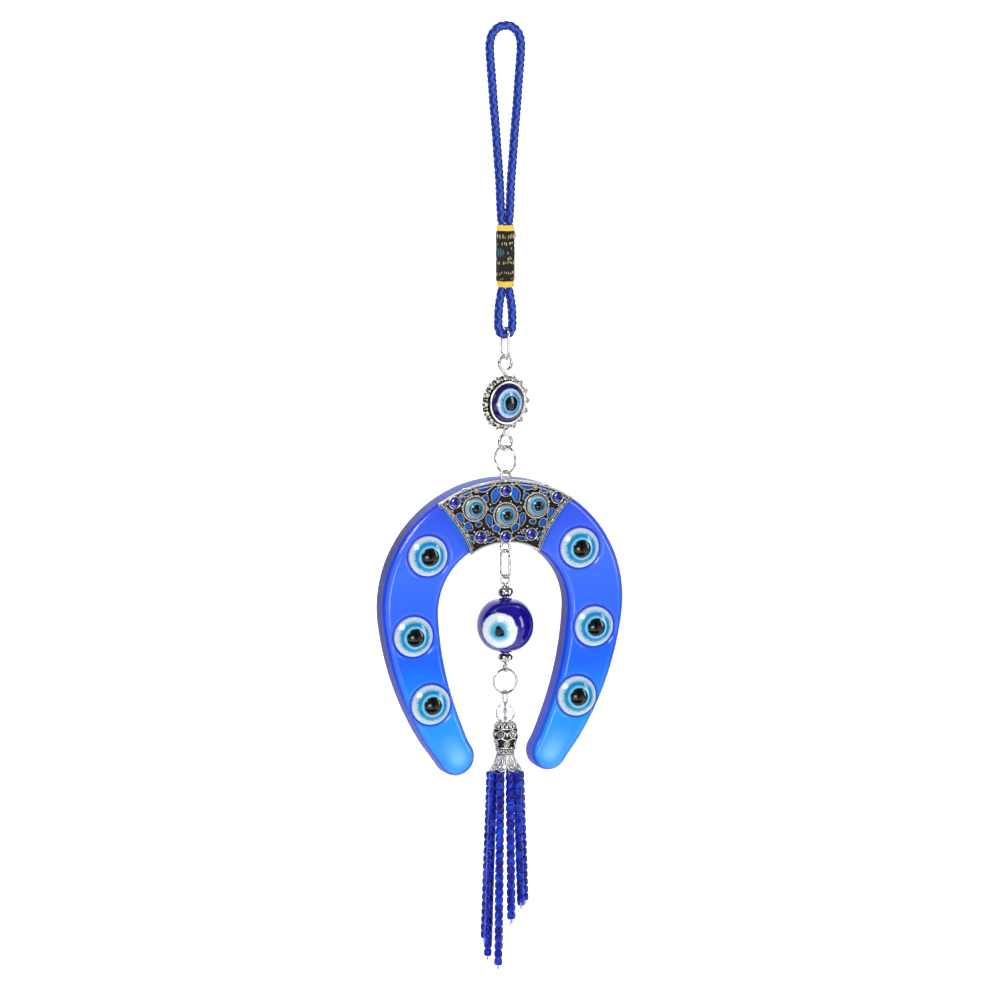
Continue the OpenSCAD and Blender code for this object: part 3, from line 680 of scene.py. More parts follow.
def antiqued_silver(name, shine=(0.84, 0.82, 0.77), reach=0.9):
    finish = Finish(name, Metallic=0.95)
    recess = finish.add("AmbientOcclusion", samples=6, Distance=reach * MM)
    grime = finish.noise(finish.place("object", IN_MM), 1.4, 5.0, 0.65)
    depth = finish.less(finish.added(recess.outputs["AO"], finish.times(grime, 0.30)), 0.15)
    middle = tuple((a + b) / 3 for a, b in zip(shine, WASH))
    finish.feed("Base Color", finish.ramp(depth, [(WASH_GONE, WASH), ((WASH_GONE + SHINE_FROM) / 2, middle),
                                                  (SHINE_FROM, shine)]))
    finish.feed("Roughness", finish.span(grime, 0.18, 0.42))
    finish.bump(grime, 0.25, 0.05)
    return finish.material


silver = bright_silver("bright_silver")
antique = antiqued_silver("antiqued_silver")
dark_wash = antiqued_silver("washed_ground", shine=(0.045, 0.040, 0.036), reach=1.0)
print("silver finishes ready")

# %% [markdown]
# A jump ring is a turn of wire cut through at one place and closed with pliers. The cut is what tells it
# from a cast ring, so each one is an open tube whose ends meet almost flush, a little to one side.

# %% Jump rings
def oval_line(length, width, wire, start_turn, steps=90, gap=0.05):
    """The middle line of an oval ring: two half circles joined by straights, with its top at z 0."""
    r, straight = (width - wire) / 2, length - width
    total = 2 * (math.pi * r + straight)
    line = []
    for i in range(steps + 1):
        run = (start_turn * total + gap + (total - 2 * gap) * i / steps) % total
        if run < math.pi * r:
            a = run / r
            x, z = r * math.cos(a), -r + r * math.sin(a)
        elif run < math.pi * r + straight:
            x, z = -r, -r - (run - math.pi * r)
        elif run < 2 * math.pi * r + straight:
            a = math.pi + (run - math.pi * r - straight) / r
            x, z = r * math.cos(a), -r - straight + r * math.sin(a)
        else:
            x, z = r, -r - straight + (run - 2 * math.pi * r - straight)
        slip = 0.05 * (2 * i / steps - 1) ** 5
        line.append((x, slip, z))
    return line


def jump_ring(name, node, length, width, wire, turn, cut):
    """An open ring, turned about the vertical, whose top lies where the CAD ring's does."""
    top = high_mm(node)[2] - wire / 2
    place = Matrix.Translation((0, 0, top)) @ Matrix.Rotation(math.radians(turn), 4, "Z")
    shape = tube(oval_line(length, width, wire, cut), wire, sides=16).moved(place)
    piece(name, [shape], node, [silver], [node], crease=50)


jump_ring("oval_ring_in_cord", "cord_link", 10.6, 5.1, 0.9, -80, 0.62)
jump_ring("round_ring_on_plate", "horseshoe_link", 9.0, 9.0, 0.8, -61, 0.12)
jump_ring("oval_ring_under_plate", "drop_link", 9.4, 4.8, 0.8, 112, 0.85)
jump_ring("round_ring_on_tassel", "tassel_ring", 8.1, 8.1, 0.8, 0, 0.93)

# %% [markdown]
# ## Domed eyes
# Ten eyes share one idea: rings of colour poured under a clear dome, with a raised black pupil. Each is a
# profile turned round its own axis, and its colours depend only on how far a point lies from that axis. The
# grain of a turned shape holds that distance, so one material serves every eye of a kind. Fine glitter lies
# in the pale rings.

# %% Colours and eye finish
def tint(code):
    """A colour written as six hexadecimal digits, in the linear values that shaders take."""
    parts = [int(code[i:i + 2], 16) / 255 for i in (0, 2, 4)]
    return tuple(v / 12.92 if v <= 0.04045 else ((v + 0.055) / 1.055) ** 2.4 for v in parts)


def eye_rings(name, reach, rings, glitter=None, wobble=0.10):
    """Rings of colour by distance from the axis, in millimetres, under a clear coat."""
    finish = Finish(name, Roughness=0.25, Coat_Weight=1.0, Coat_Roughness=0.03, Coat_IOR=1.45,
                    Specular_IOR_Level=0.1)
    where = finish.place("grain")
    parts = finish.split(where)
    distance = finish.added(finish.away(parts[1], parts[2]), finish.ragged(where, 1.3, 3.0, wobble * 2))
    share = finish.maths("DIVIDE", distance, reach)
    colour = finish.ramp(share, [(at / reach, tint(code)) for at, code in rings])
    if glitter:
        sparkle = finish.cells(where, 4.2)
        start, stop = glitter[0] / reach, glitter[1] / reach
        black, white = (0, 0, 0), (1, 1, 1)
        here = finish.ramp(share, [(start - 0.03, black), (start + 0.03, white), (stop - 0.02, white),
                                   (min(1.0, stop + 0.01), black)])
        bright = finish.times(finish.maths("GREATER_THAN", sparkle[0], 0.80), 0.45)
        dull = finish.times(finish.maths("LESS_THAN", sparkle[1], 0.26), 0.22)
        colour = finish.mix(finish.times(bright, here), colour, white)
        colour = finish.mix(finish.times(dull, here), colour, tint("6f95ad"))
    finish.feed("Base Color", colour)
    return finish.material


# In each table the pupil's middle is a shade lighter than its rim: a faint painted highlight.
leg_eye_finish = eye_rings("leg_eye_rings", 6.1, [
    (0, "07080a"), (2.68, "020306"), (2.82, "3aa6dc"), (3.10, "7fd6fb"), (3.42, "5cc0ec"), (3.58, "1f8dc8"),
    (4.30, "1583bf"), (4.55, "3fa6d3"), (4.90, "9fd0e2"), (5.20, "c3d9e4"), (5.85, "e3edf8"), (6.1, "a9bbe6"),
], glitter=(4.4, 6.0))
plate_eye_finish = eye_rings("plate_eye_rings", 3.0, [
    (0, "08090b"), (1.50, "020306"), (1.60, "4c9fc9"), (1.78, "5aa9cf"), (1.90, "1b6a9e"), (2.15, "1f74a8"),
    (2.28, "4a97bb"), (2.45, "9dbfc8"), (3.0, "b4c6ca"),
], wobble=0.06)
sun_eye_finish = eye_rings("sun_eye_rings", 5.7, [
    (0, "08090b"), (2.28, "020306"), (2.40, "78cbea"), (2.68, "5fbfe6"), (2.85, "1279b8"), (3.35, "1f8cc4"),
    (3.62, "86bddc"), (3.95, "bccdeb"), (4.38, "cdd2ee"), (4.52, "2a2c7e"), (4.9, "11125c"), (5.7, "0a0a48"),
], glitter=(2.9, 4.3), wobble=0.08)


def domed_eye(d, base, crown, pupil_r, pupil_rise, steps=72):
    """A turned dome on a short wall, facing along +Z before it is placed. The pupil stands a little proud."""
    r_max = d / 2
    big = (r_max**2 + crown**2) / (2 * crown)
    profile = [(0, 0), (r_max - 0.15, 0), (r_max, 0.15), (r_max, base)]
    for i in range(1, 33):
        r = r_max * (1 - i / 32)
        h = base + crown - big + math.sqrt(big**2 - r**2)
        if r < pupil_r:
            h += pupil_rise * math.sqrt(1 - (r / pupil_r) ** 2)
        profile.append((r, h))
    return lathe(profile, steps)


def facing_front(x, y, z, turn=0.0):
    """Stands a turned shape up at a point, so that it looks towards -Y, turned about the vertical."""
    return (Matrix.Translation((x, y, z)) @ Matrix.Rotation(math.radians(turn), 4, "Z")
            @ Matrix.Rotation(math.radians(90), 4, "X"))


print("eye finishes ready")

# %% [markdown]
# ## Sun charm
# The charm is one casting: a bezel, a ring of sixteen scrolls that end in small lobes, granules between
# them, and a ring above and below. The scrolls are what give it its sun shape, and they throw the small
# dark marks between their lobes, so each lobe is its own granule.

# %% Sun charm
SUN_TURN, SUN_RAYS = 16.0, 16
SUN_SEAT_Y, SUN_BACK_Y, SUN_T = 0.2, 1.4, 3.0
# One ray's granules: distance from the middle, degrees off the ray, how far forward, radius, steps round.
SUN_GRANULES = [(7.1, 0, 0, 0.93, 16), (8.12, -3.9, 0.18, 0.46, 12), (8.12, 3.9, 0.18, 0.46, 12),
                (8.62, 0, 0.05, 0.40, 12), (7.35, 0, 0.86, 0.30, 10), (6.92, 11.25, 0.15, 0.52, 12),
                (7.5, 11.25, -0.2, 0.34, 10)]


def sun_point(radius, degrees, front=0.0):
    """A point of the charm by radius and angle from the top. X is right, Y is up or down, Z is front."""
    a = math.radians(degrees)
    return (radius * math.sin(a), radius * math.cos(a), front)


def sun_casting():
    rim = SUN_T - SUN_BACK_Y
    bezel = lathe([
        (0, -SUN_BACK_Y), (5.9, -SUN_BACK_Y), (6.25, -1.15), (6.32, 0.7), (6.52, 1.15), (6.55, 1.45),
        (6.40, rim + 0.02), (6.12, rim + 0.03), (5.9, rim - 0.1), (5.78, rim - 0.45), (5.74, 0.6),
        (5.74, -SUN_SEAT_Y), (0, -SUN_SEAT_Y),
    ], 96)
    ground = lathe([(6.1, -0.9), (7.9, -0.75), (8.1, -0.45), (7.9, -0.15), (6.1, 0.1)], 64).wearing(1)
    shapes = [bezel, ground]
    for k in range(SUN_RAYS):
        for distance, off, front, size, steps in SUN_GRANULES:
            shapes.append(ball(sun_point(distance, k * 360 / SUN_RAYS + off, front), size, steps))
    for side in (0, 180):
        shapes.append(ring(sun_point(12.0, side), 2.25, 1.1, 16, 64, normal="z").wearing(2))
        shapes.append(lathe([(0, -0.7), (0.8, -0.6), (0.95, 0), (0.8, 0.6), (0, 0.7)], 20).moved(
            Matrix.Translation(Vector(sun_point(9.15, side)))))
        for lean in (-5.2, 5.2):
            shapes.append(ball(sun_point(9.35, side + lean, 0.1), 0.5, 12))
    return shapes


sun_place = facing_front(0, 0, mid_mm("sun_eye")[2], SUN_TURN)
piece("sun_casting", [s.moved(sun_place) for s in sun_casting()], "sun",
      [antique, dark_wash, silver], ["sun_setting"], crease=45)
eye_place = sun_place @ Matrix.Translation((0, 0, -SUN_SEAT_Y))
piece("sun_cabochon", [domed_eye(11.36, 1.75, 1.9, 2.32, 0.18).moved(eye_place)], "sun",
      [sun_eye_finish], ["sun_eye"], crease=60)

# %% [markdown]
# ## Horseshoe
# The horseshoe is one casting of clear blue resin with a flat polished face, a soft bevel, and a shallow
# dish round each eye. Its middle line is two arcs, and it narrows towards the ends. The mesh follows that
# line: rows of points across the width, and half rings round each end. The dishes are pressed into the rows
# by moving points back, which keeps the face smooth between them.

# %% Middle line of the horseshoe
ARCH_R, LEG_R = 29.6, 95.0
ARCH_TURN, LEG_TURN = math.radians(95), math.radians(27.6)
ARCH_W, LEG_END_W, TAPER = 19.4, 11.6, 2.6
FRONT_BEVEL, BACK_BEVEL = 2.2, 0.6
shoe_front, shoe_back = low_mm("horseshoe_body")[1], high_mm("horseshoe_body")[1]
arc_z = high_mm("horseshoe_body")[2] - ARCH_R - ARCH_W / 2
ARCH_RUN, LEG_RUN = ARCH_R * ARCH_TURN, LEG_R * LEG_TURN
HALF_RUN = ARCH_RUN + LEG_RUN
LEG_CENTRE = ((ARCH_R - LEG_R) * math.sin(ARCH_TURN), arc_z + (ARCH_R - LEG_R) * math.cos(ARCH_TURN))


def turn_at(run):
    return run / ARCH_R if run < ARCH_RUN else ARCH_TURN + (run - ARCH_RUN) / LEG_R


def middle_at(run):
    a = turn_at(run)
    if run < ARCH_RUN:
        return np.array((ARCH_R * math.sin(a), arc_z + ARCH_R * math.cos(a)))
    return np.array((LEG_CENTRE[0] + LEG_R * math.sin(a), LEG_CENTRE[1] + LEG_R * math.cos(a)))


EASE = 9.0


def half_width(run):
    """Half the leg's width. The taper eases out at the end, so that the round end meets it smoothly."""
    taper = (ARCH_W - LEG_END_W) / 2
    near_end = max(0.0, (run - HALF_RUN) / EASE + 1)
    eased = taper * TAPER / HALF_RUN * EASE * (near_end ** 3 - near_end ** 2)
    return ARCH_W / 2 - taper * (run / HALF_RUN) ** TAPER + eased


leg_eyes = {name: mid_mm(name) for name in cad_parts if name.startswith("leg_eye")}
print("arc centre z", round(arc_z, 2))
print("eyes at", {name: (round(v[0], 1), round(v[2], 1)) for name, v in leg_eyes.items()})

# %% Section of the resin
ACROSS = 44
DISH_DEPTH, DISH_FLOOR_R, DISH_RIM_R = 1.125, 5.9, 7.475


def section(width):
    """The section at a half width, as (offset from the middle, y): the front, then bevel, side and back."""
    flat = width - FRONT_BEVEL
    front = [(flat * (1 - 2 * i / ACROSS), shoe_front) for i in range(ACROSS + 1)]
    bevel = []
    for i in range(1, 9):
        a = i / 8
        bevel.append((flat + FRONT_BEVEL * math.sin(a * math.pi / 2) ** 1.15,
                      shoe_front + FRONT_BEVEL * (1 - math.cos(a * math.pi / 2)) ** 0.92))
    side = [(width, shoe_front + FRONT_BEVEL + (shoe_back - BACK_BEVEL - shoe_front - FRONT_BEVEL) * t)
            for t in (0.33, 0.66, 1.0)]
    foot = [(width - BACK_BEVEL * (1 - math.cos(a)), shoe_back - BACK_BEVEL * (1 - math.sin(a)))
            for a in (math.pi / 6, math.pi / 3, math.pi / 2)]
    return front, bevel + side + foot


def dish(x, z):
    """How far back the face is pressed at a point: deep under an eye, easing out over the lip."""
    deepest = 0.0
    for eye in leg_eyes.values():
        share = (DISH_RIM_R - math.hypot(x - eye[0], z - eye[2])) / (DISH_RIM_R - DISH_FLOOR_R)
        deepest = max(deepest, DISH_DEPTH * eased(min(1.0, max(0.0, share))))
    return deepest


def pressed(x, y, z):
    """A point of the front after the dishes are pressed in. The bevel only moves where the dish is deeper."""
    return (x, max(y, shoe_front + dish(x, z)), z)


# %% Mesh of the resin
SHOE_STEPS, END_STEPS = 230, 28


def shoe_rows():
    """Half runs from the left end over the top to the right end."""
    runs = [HALF_RUN * i / SHOE_STEPS for i in range(SHOE_STEPS, -1, -1)]
    return [(-1, run) for run in runs] + [(1, run) for run in runs[-2::-1]]


def shoe_shape():
    points, faces, grain, columns = [], [], [], 0
    rows = shoe_rows()
    for side, run in rows:
        centre, a = middle_at(run), turn_at(run)
        out = np.array((math.sin(a), math.cos(a)))
        front, wall = section(half_width(run))
        across = front + [(-o, y) for o, y in wall] + [(o, y) for o, y in wall[::-1]]
        for k, (o, y) in enumerate(across):
            x, z = centre + out * o
            x *= side
            points.append(pressed(x, y, z) if k <= ACROSS or y < shoe_front + FRONT_BEVEL else (x, y, z))
            grain.append((run, abs(o) / half_width(run), 0))
        columns = len(across)
    faces += [f[::-1] for f in grid_faces(len(rows), columns)]
    for end, side in ((0, -1), (len(rows) - 1, 1)):
        add_round_end(points, faces, grain, end * columns, columns, side)
    return Shape(points, faces, grain)


def add_round_end(points, faces, grain, first, columns, side):
    """Half rings from the outer to the inner side of a leg's end, one for each pair of opposite columns."""
    centre, a0 = middle_at(HALF_RUN), turn_at(HALF_RUN)
    front, wall = section(LEG_END_W / 2)
    pairs = [(k, ACROSS - k, *front[k]) for k in range(ACROSS // 2)]
    wall_start, total = ACROSS + 1, len(wall)
    pairs = [(columns - 1 - i, wall_start + i, *wall[i]) for i in range(total)][::-1] + pairs
    rings = []
    for outer, inner, offset, y in pairs:
        ring_ids = [first + outer]
        for t in range(1, END_STEPS):
            a = a0 + math.pi * t / END_STEPS
            x, z = centre + offset * np.array((math.sin(a), math.cos(a)))
            x *= side
            points.append(pressed(x, y, z) if y < shoe_front + FRONT_BEVEL else (x, y, z))
            grain.append((HALF_RUN + offset * math.sin(a - a0), offset * 2 / LEG_END_W, 0))
            ring_ids.append(len(points) - 1)
        ring_ids.append(first + inner)
        rings.append(ring_ids)
    made = [(a[t], a[t + 1], b[t + 1], b[t]) for a, b in zip(rings[:-1], rings[1:]) for t in range(END_STEPS)]
    made += [(rings[-1][t], rings[-1][t + 1], first + ACROSS // 2) for t in range(END_STEPS)]
    made.append(tuple(rings[0][::-1]))
    faces += made if side > 0 else [f[::-1] for f in made]


FACE_LOW, FACE_HIGH = -34, 40
FACE_TONES = [(0.0, "2f9dfd"), (0.10, "218afd"), (0.24, "2069fb"), (0.40, "326bfc"), (0.62, "4474fd"),
              (0.85, "3a5cf0"), (1.0, "4a68e6")]
SIDE_TONES = [(0.0, "1a2fae"), (0.25, "191c86"), (0.75, "1c1a6c"), (1.0, "4657a8")]
TIP_FROM, TIP_TO = HALF_RUN - 10, HALF_RUN + 2
LIT_RUN_UNDER_PLATE = ARCH_R * math.radians(32.5)


def blue_resin():
    """Clear blue resin: deep at the sides and lighter down the legs, with painted light at the thin tips and
    under the plate, and painted shade where the surface lies back from the face.
    """
    finish = Finish("blue_resin", Coat_Weight=0.5, Coat_Roughness=0.16, Specular_IOR_Level=0.25)
    where = finish.place("object", IN_MM)
    parts, along = finish.split(where), finish.split(finish.place("grain"))
    height = finish.added(finish.remap(parts[2], arc_z + FACE_LOW, arc_z + FACE_HIGH),
                          finish.ragged(where, 0.05, 2.0, 0.12))
    face = finish.ramp(height, [(at, tint(code)) for at, code in FACE_TONES])
    deep = finish.ramp(height, [(at, tint(code)) for at, code in SIDE_TONES])
    # Painted light: the face turns pale cyan towards the thin leg tips, where light would come through the
    # resin.
    near_tip = finish.remap(along[0], TIP_FROM, TIP_TO, how="SMOOTHSTEP")
    painted_tip_glow = finish.times(near_tip, finish.remap(along[1], 0.8, 0.1, how="SMOOTHSTEP"))
    face = finish.mix(finish.times(painted_tip_glow, 0.85), face, tint("86d4ff"))
    # Painted light: the resin under the plate, seen through its windows, is lifted to a brighter blue against
    # the plate's shade.
    under_plate = finish.maths("LESS_THAN", along[0], LIT_RUN_UNDER_PLATE)
    face = finish.mix(finish.times(under_plate, 0.9), face, tint("2a7cff"))
    # Painted shade: the face darkens where it lies back from the front, in the dishes round the eyes and on
    # the bevel.
    set_back_shade = finish.remap(parts[1], shoe_front + 0.25, shoe_front + 0.85, high=0.75, how="SMOOTHSTEP")
    face = finish.mix(set_back_shade, face, tint("1a3ce0"))
    side_share = finish.remap(parts[1], shoe_front + 0.7, shoe_front + FRONT_BEVEL + 0.3)
    finish.feed("Base Color", finish.mix(side_share, face, deep))
    finish.feed("Roughness", finish.span(side_share, 0.14, 0.5))
    finish.feed("Coat Weight", finish.span(side_share, 0.5, 0.05))
    finish.bump(finish.noise(where, 0.16, 2.0), 0.05, 0.6)
    return finish.material


piece("resin_horseshoe", [shoe_shape()], "horseshoe", [blue_resin()], ["horseshoe_body"],
      crease=50)

# %% Eyes of the legs
EYE_SEAT = 2.5
for name, middle in leg_eyes.items():
    seat = high_mm(name)[1] - 0.05
    dome = domed_eye(12.2, EYE_SEAT - 0.3, 2.3, 2.75, 0.28).moved(facing_front(middle[0], seat, middle[2]))
    piece(name.replace("leg_eye", "leg_cabochon"), [dome], "horseshoe", [leg_eye_finish], [name],
          crease=60)

# %% [markdown]
# ## Openwork plate
# The plate is one casting too: a pierced ground, wires and rope borders laid on it, and cups for three eyes
# and six stones. The ground is a flat outline with holes, which Blender fills and thickens as a curve. The
# holes are leaf shapes, each with a raised wire round it, so that the light wires stand on a dark ground as
# on the real casting.

# %% Places on the plate
PLATE_TURN, SIDE_HOLLOW = 33.0, 1.1
PLATE_OUT, PLATE_IN = ARCH_R + ARCH_W / 2, ARCH_R - ARCH_W / 2
WINDOWS = [
    (20.1, 3.0, 1.6, 1.1, -30), (12.3, 6.4, 2.6, 2.0, -20), (6.3, 7.6, 4.6, 1.8, -14),
    (3.3, 5.0, 4.4, 2.2, 110), (6.5, 4.2, 1.8, 1.3, 60), (13.6, 4.3, 1.3, 0.9, 50),
    (14.6, -1.4, 2.8, 1.8, 60), (11.9, -4.1, 2.4, 1.8, 40), (5.3, -2.7, 3.6, 1.4, 80),
    (8.6, -3.5, 1.6, 1.0, 0), (3.0, -5.0, 2.2, 1.8, 60), (4.6, -8.4, 2.8, 0.8, -16),
    (10.9, -7.7, 1.6, 1.1, 60), (4.2, 0.6, 1.0, 0.9, 0),
]
PLATE_EYES = [(-9.9, 1.4), (0.0, -1.1), (9.9, 1.4)]
STONES = [(-16.4, 3.6), (16.4, 3.6), (-8.1, -7.3), (8.1, -7.3), (0.0, 6.5), (0.0, -7.7)]
BOTH_SIDES = (-1, 1)


def on_plate(x, height, y):
    """A point of the plate from its place across, its height above the middle line, and its depth."""
    return (x, y, arc_z + ARCH_R + height)


def side_line(side, inset=0.0, steps=24):
    """A side edge from the outer to the inner corner, as (x, height), hollowed towards the middle."""
    line = []
    for i in range(steps + 1):
        t = i / steps
        r = PLATE_OUT - inset + (PLATE_IN - PLATE_OUT + 2 * inset) * t
        a = math.radians(PLATE_TURN) - (SIDE_HOLLOW * 4 * t * (1 - t) + inset) / r
        line.append((side * r * math.sin(a), r * math.cos(a) - ARCH_R))
    return line


def arc_line(r, reach, steps=60):
    turns = np.linspace(-math.radians(reach), math.radians(reach), steps)
    return [(r * math.sin(a), r * math.cos(a) - ARCH_R) for a in turns]


def leaf(window, side, grow=0.0, steps=28):
    """A leaf-shaped hole: an oval that is fuller at one end and a little bent."""
    x, height, length, width, tilt = window
    turn, grow = math.radians(tilt), grow + 0.12
    line = []
    for i in range(steps):
        a = 2 * math.pi * i / steps
        along = (length / 2 + grow) * math.cos(a)
        across = (width / 2 + grow) * math.sin(a) * (1 + 0.28 * math.cos(a))
        across += 0.10 * width * math.sin(2 * a) ** 2
        line.append((side * (x + along * math.cos(turn) - across * math.sin(turn)),
                     height + along * math.sin(turn) + across * math.cos(turn)))
    return line


def filled(outlines, low_y, high_y):
    """Fills outlines as a flat curve, thickens it, and hands back a shape that stands upright."""
    curve = bpy.data.curves.new("ground", "CURVE")
    curve.dimensions, curve.fill_mode = "2D", "BOTH"
    curve.extrude = (high_y - low_y) / 2
    for outline in outlines:
        spline = curve.splines.new("POLY")
        spline.points.add(len(outline) - 1)
        for point, (x, height) in zip(spline.points, outline):
            point.co = (x, height, 0, 1)
        spline.use_cyclic_u = True
    holder = shown("ground", curve)
    mesh = bpy.data.meshes.new_from_object(holder.evaluated_get(bpy.context.evaluated_depsgraph_get()))
    middle = (low_y + high_y) / 2
    points = [on_plate(v.co.x, v.co.y, middle - v.co.z) for v in mesh.vertices]
    faces = [tuple(f.vertices) for f in mesh.polygons]
    bpy.data.objects.remove(holder)
    bpy.data.meshes.remove(mesh)
    return Shape(points, faces, np.zeros((len(points), 3)))


sides = [side_line(side) for side in BOTH_SIDES]
outline = arc_line(PLATE_OUT, PLATE_TURN) + sides[1][1:-1]
outline += arc_line(PLATE_IN, PLATE_TURN)[::-1] + sides[0][-2:0:-1]
holes = [leaf(window, side) for window in WINDOWS for side in BOTH_SIDES]
GROUND_FRONT_Y, PLATE_BACK_Y = -0.2, 0.6
ground = filled([outline] + holes, GROUND_FRONT_Y, PLATE_BACK_Y)
piece("plate_openwork", [ground], "horseshoe", [dark_wash], ["filigree_plate"], crease=40)

# %% Wires, ropes and cups of the plate
WIRE_Y = -0.32


def laid(line, width, closed=False, thick=0.7, y=WIRE_Y):
    """A wire laid on the ground along (x, height) places."""
    return tube([on_plate(x, height, y) for x, height in line], width, thick, 10, closed, up=(0, 1, 0))


ROPE_STEP = 0.09


def rope(line, width, twist):
    """Two wires twisted round a line: the rope borders of the side edges."""
    path = smooth_line([on_plate(x, height, WIRE_Y) for x, height in line], ROPE_STEP)
    side, other = frames_along(path, up=(0, 1, 0))
    run = np.linspace(0, len(path) * ROPE_STEP, len(path))
    ropes = []
    for start in (0, math.pi):
        a = run / twist * math.pi + start
        out = np.cos(a)[:, None] * other + np.sin(a)[:, None] * side
        ropes.append(tube(path + out * width * 0.25, width / 2, sides=8))
    return ropes


def curl(x, height, radius, start, turns, side, width=0.5):
    """A wire that winds inwards and ends in a granule: the casting's small scrolls."""
    line = []
    for t in np.linspace(0, 1, int(30 * turns) + 6):
        a = math.radians(start) + turns * 2 * math.pi * t
        r = radius * (1 - 0.78 * t)
        line.append((side * (x + r * math.cos(a)), height + r * math.sin(a)))
    return [laid(line, width), ball(on_plate(*line[-1], WIRE_Y - 0.1), width * 0.62, 10)]


# Each curl: its place across and up, its radius, where it starts in degrees, and its turns.
CURLS = [(17.9, 0.6, 0.8, 60, 1.1), (16.6, -0.4, 0.7, 250, 1.0), (13.6, -5.2, 0.8, 20, 1.1),
         (12.4, -6.6, 0.6, 140, 1.0), (9.4, 7.0, 0.9, 200, 1.2), (14.3, 5.3, 0.6, 300, 1.0),
         (2.2, 7.9, 0.7, 90, 1.0), (5.9, -6.2, 1.1, 160, 1.2),
         (2.4, -3.0, 0.6, 30, 1.0), (6.1, 1.0, 0.6, 100, 1.0), (2.3, -8.3, 0.5, 200, 1.0)]
GRANULES = [(19.0, 1.9), (16.9, 1.1), (15.1, -3.4), (13.2, -3.0), (12.3, -5.6), (10.0, -5.8), (7.0, -4.9),
            (4.3, -4.2),
            (4.1, -6.7), (2.1, -6.6), (5.9, 5.9), (8.7, 5.2), (10.9, 5.6), (1.7, 3.0), (4.9, 2.4),
            (3.9, -1.0), (10.2, -9.0), (6.6, -9.2), (13.9, 2.3), (3.4, 8.6), (18.6, 3.2)]


def plate_wires():
    rim = [laid(arc_line(PLATE_OUT - 0.4, PLATE_TURN - 0.7), 0.8, thick=1.0, y=-0.12),
           laid(arc_line(PLATE_IN + 0.4, PLATE_TURN - 1.4), 0.8, thick=1.0, y=-0.12),
           laid(arc_line(PLATE_OUT - 1.35, PLATE_TURN - 2.5), 0.45, thick=0.5)]
    for side in BOTH_SIDES:
        rim.extend(rope(side_line(side, 0.78), 0.52, 0.45))
        rim.extend(laid(side_line(side, inset), 0.34) for inset in (0.18, 1.42))
        for window in WINDOWS:
            rim.append(laid(leaf(window, side, 0.16), 0.36, closed=True))
        for x, height, radius, start, turns in CURLS:
            rim.extend(curl(x, height, radius, start, turns, side))
        rim.extend(ball(on_plate(side * x, height, WIRE_Y - 0.05), 0.34, 10) for x, height in GRANULES)
    return rim


def cup(place, seat_r, wall, beads=0):
    """A cup for an eye or a stone, with a ring of granules outside it for an eye."""
    profile = [(seat_r + wall, 0), (seat_r + wall, 1.45), (seat_r + wall * 0.8, 1.62),
               (seat_r + wall * 0.3, 1.7), (seat_r - 0.06, 1.62), (seat_r - 0.02, 1.3), (seat_r, 0.05),
               (0, 0.05), (0, 0)]
    made = [lathe(profile, 56).moved(facing_front(*on_plate(*place, PLATE_BACK_Y)))]
    r = seat_r + 0.72
    if beads:
        made.append(ring(on_plate(*place, -0.1), r, 0.7, 10, 56))
    for k in range(beads):
        a = 2 * math.pi * k / beads
        made.append(ball(on_plate(place[0] + r * math.cos(a), place[1] + r * math.sin(a), -0.5), 0.33, 10))
    return made


plate_shapes = plate_wires()
for place in PLATE_EYES:
    plate_shapes.extend(cup(place, 3.04, 0.26, beads=38))
for place in STONES:
    plate_shapes.extend(cup(place, 1.74, 0.26))
for height in (PLATE_OUT - ARCH_R + 1.25, PLATE_IN - ARCH_R - 1.25):
    plate_shapes.append(ring(on_plate(0, height, 0), 1.4, 0.9, 14, 48).wearing(1))
    plate_shapes.append(ball(on_plate(0, height - math.copysign(1.5, height), -0.1), 0.75, 14))
piece("plate_scrollwork", plate_shapes, "horseshoe", [antique, silver], crease=45)

# %% Eyes and stones of the plate
SEAT_Y = 0.2
for name, (x, height) in zip(("left", "middle", "right"), PLATE_EYES):
    dome = domed_eye(6.0, 1.0, 2.2, 1.5, 0.10, 56).moved(facing_front(*on_plate(x, height, SEAT_Y)))
    piece(f"plate_cabochon_{name}", [dome], "horseshoe", [plate_eye_finish],
          [f"plate_eye_{name}"], crease=60)


def fan_of_rows(rows):
    """Facets between rings of points, each turned by half a step from the one before.

    Each row is a radius, a height and the number of points, which is the same in all rows.
    """
    count, points, faces = rows[0][2], [], []
    for k, (r, h, _) in enumerate(rows):
        for i in range(count):
            a = 2 * math.pi * (i + k / 2) / count
            points.append((r * math.cos(a), r * math.sin(a), h))
    for k in range(len(rows) - 1):
        for i in range(count):
            a, b = k * count + i, k * count + (i + 1) % count
            c, d = (k + 1) * count + i, (k + 1) * count + (i + 1) % count
            faces += [(a, b, c), (b, d, c)]
    faces.append(tuple(range(count))[::-1])
    faces.append(tuple((len(rows) - 1) * count + i for i in range(count)))
    return Shape(points, faces, points)


def gem_finish():
    """Violet-blue glass over a mirror foil, painted in patches from deep violet to pale blue as painted
    reflections of its facets.
    """
    finish = Finish("rhinestone", Metallic=0.55, Roughness=0.07, Coat_Weight=1.0, Coat_Roughness=0.02)
    # Painted reflection: chance patches of tone, the palest a painted glint.
    tone = finish.cells(finish.place("grain"), 0.75)[0]
    finish.feed("Base Color", finish.ramp(tone, [
        (0.1, tint("1d1f78")), (0.4, tint("3a3cae")), (0.65, tint("5a63d2")), (0.9, tint("9cc4f2"))]))
    return finish.material


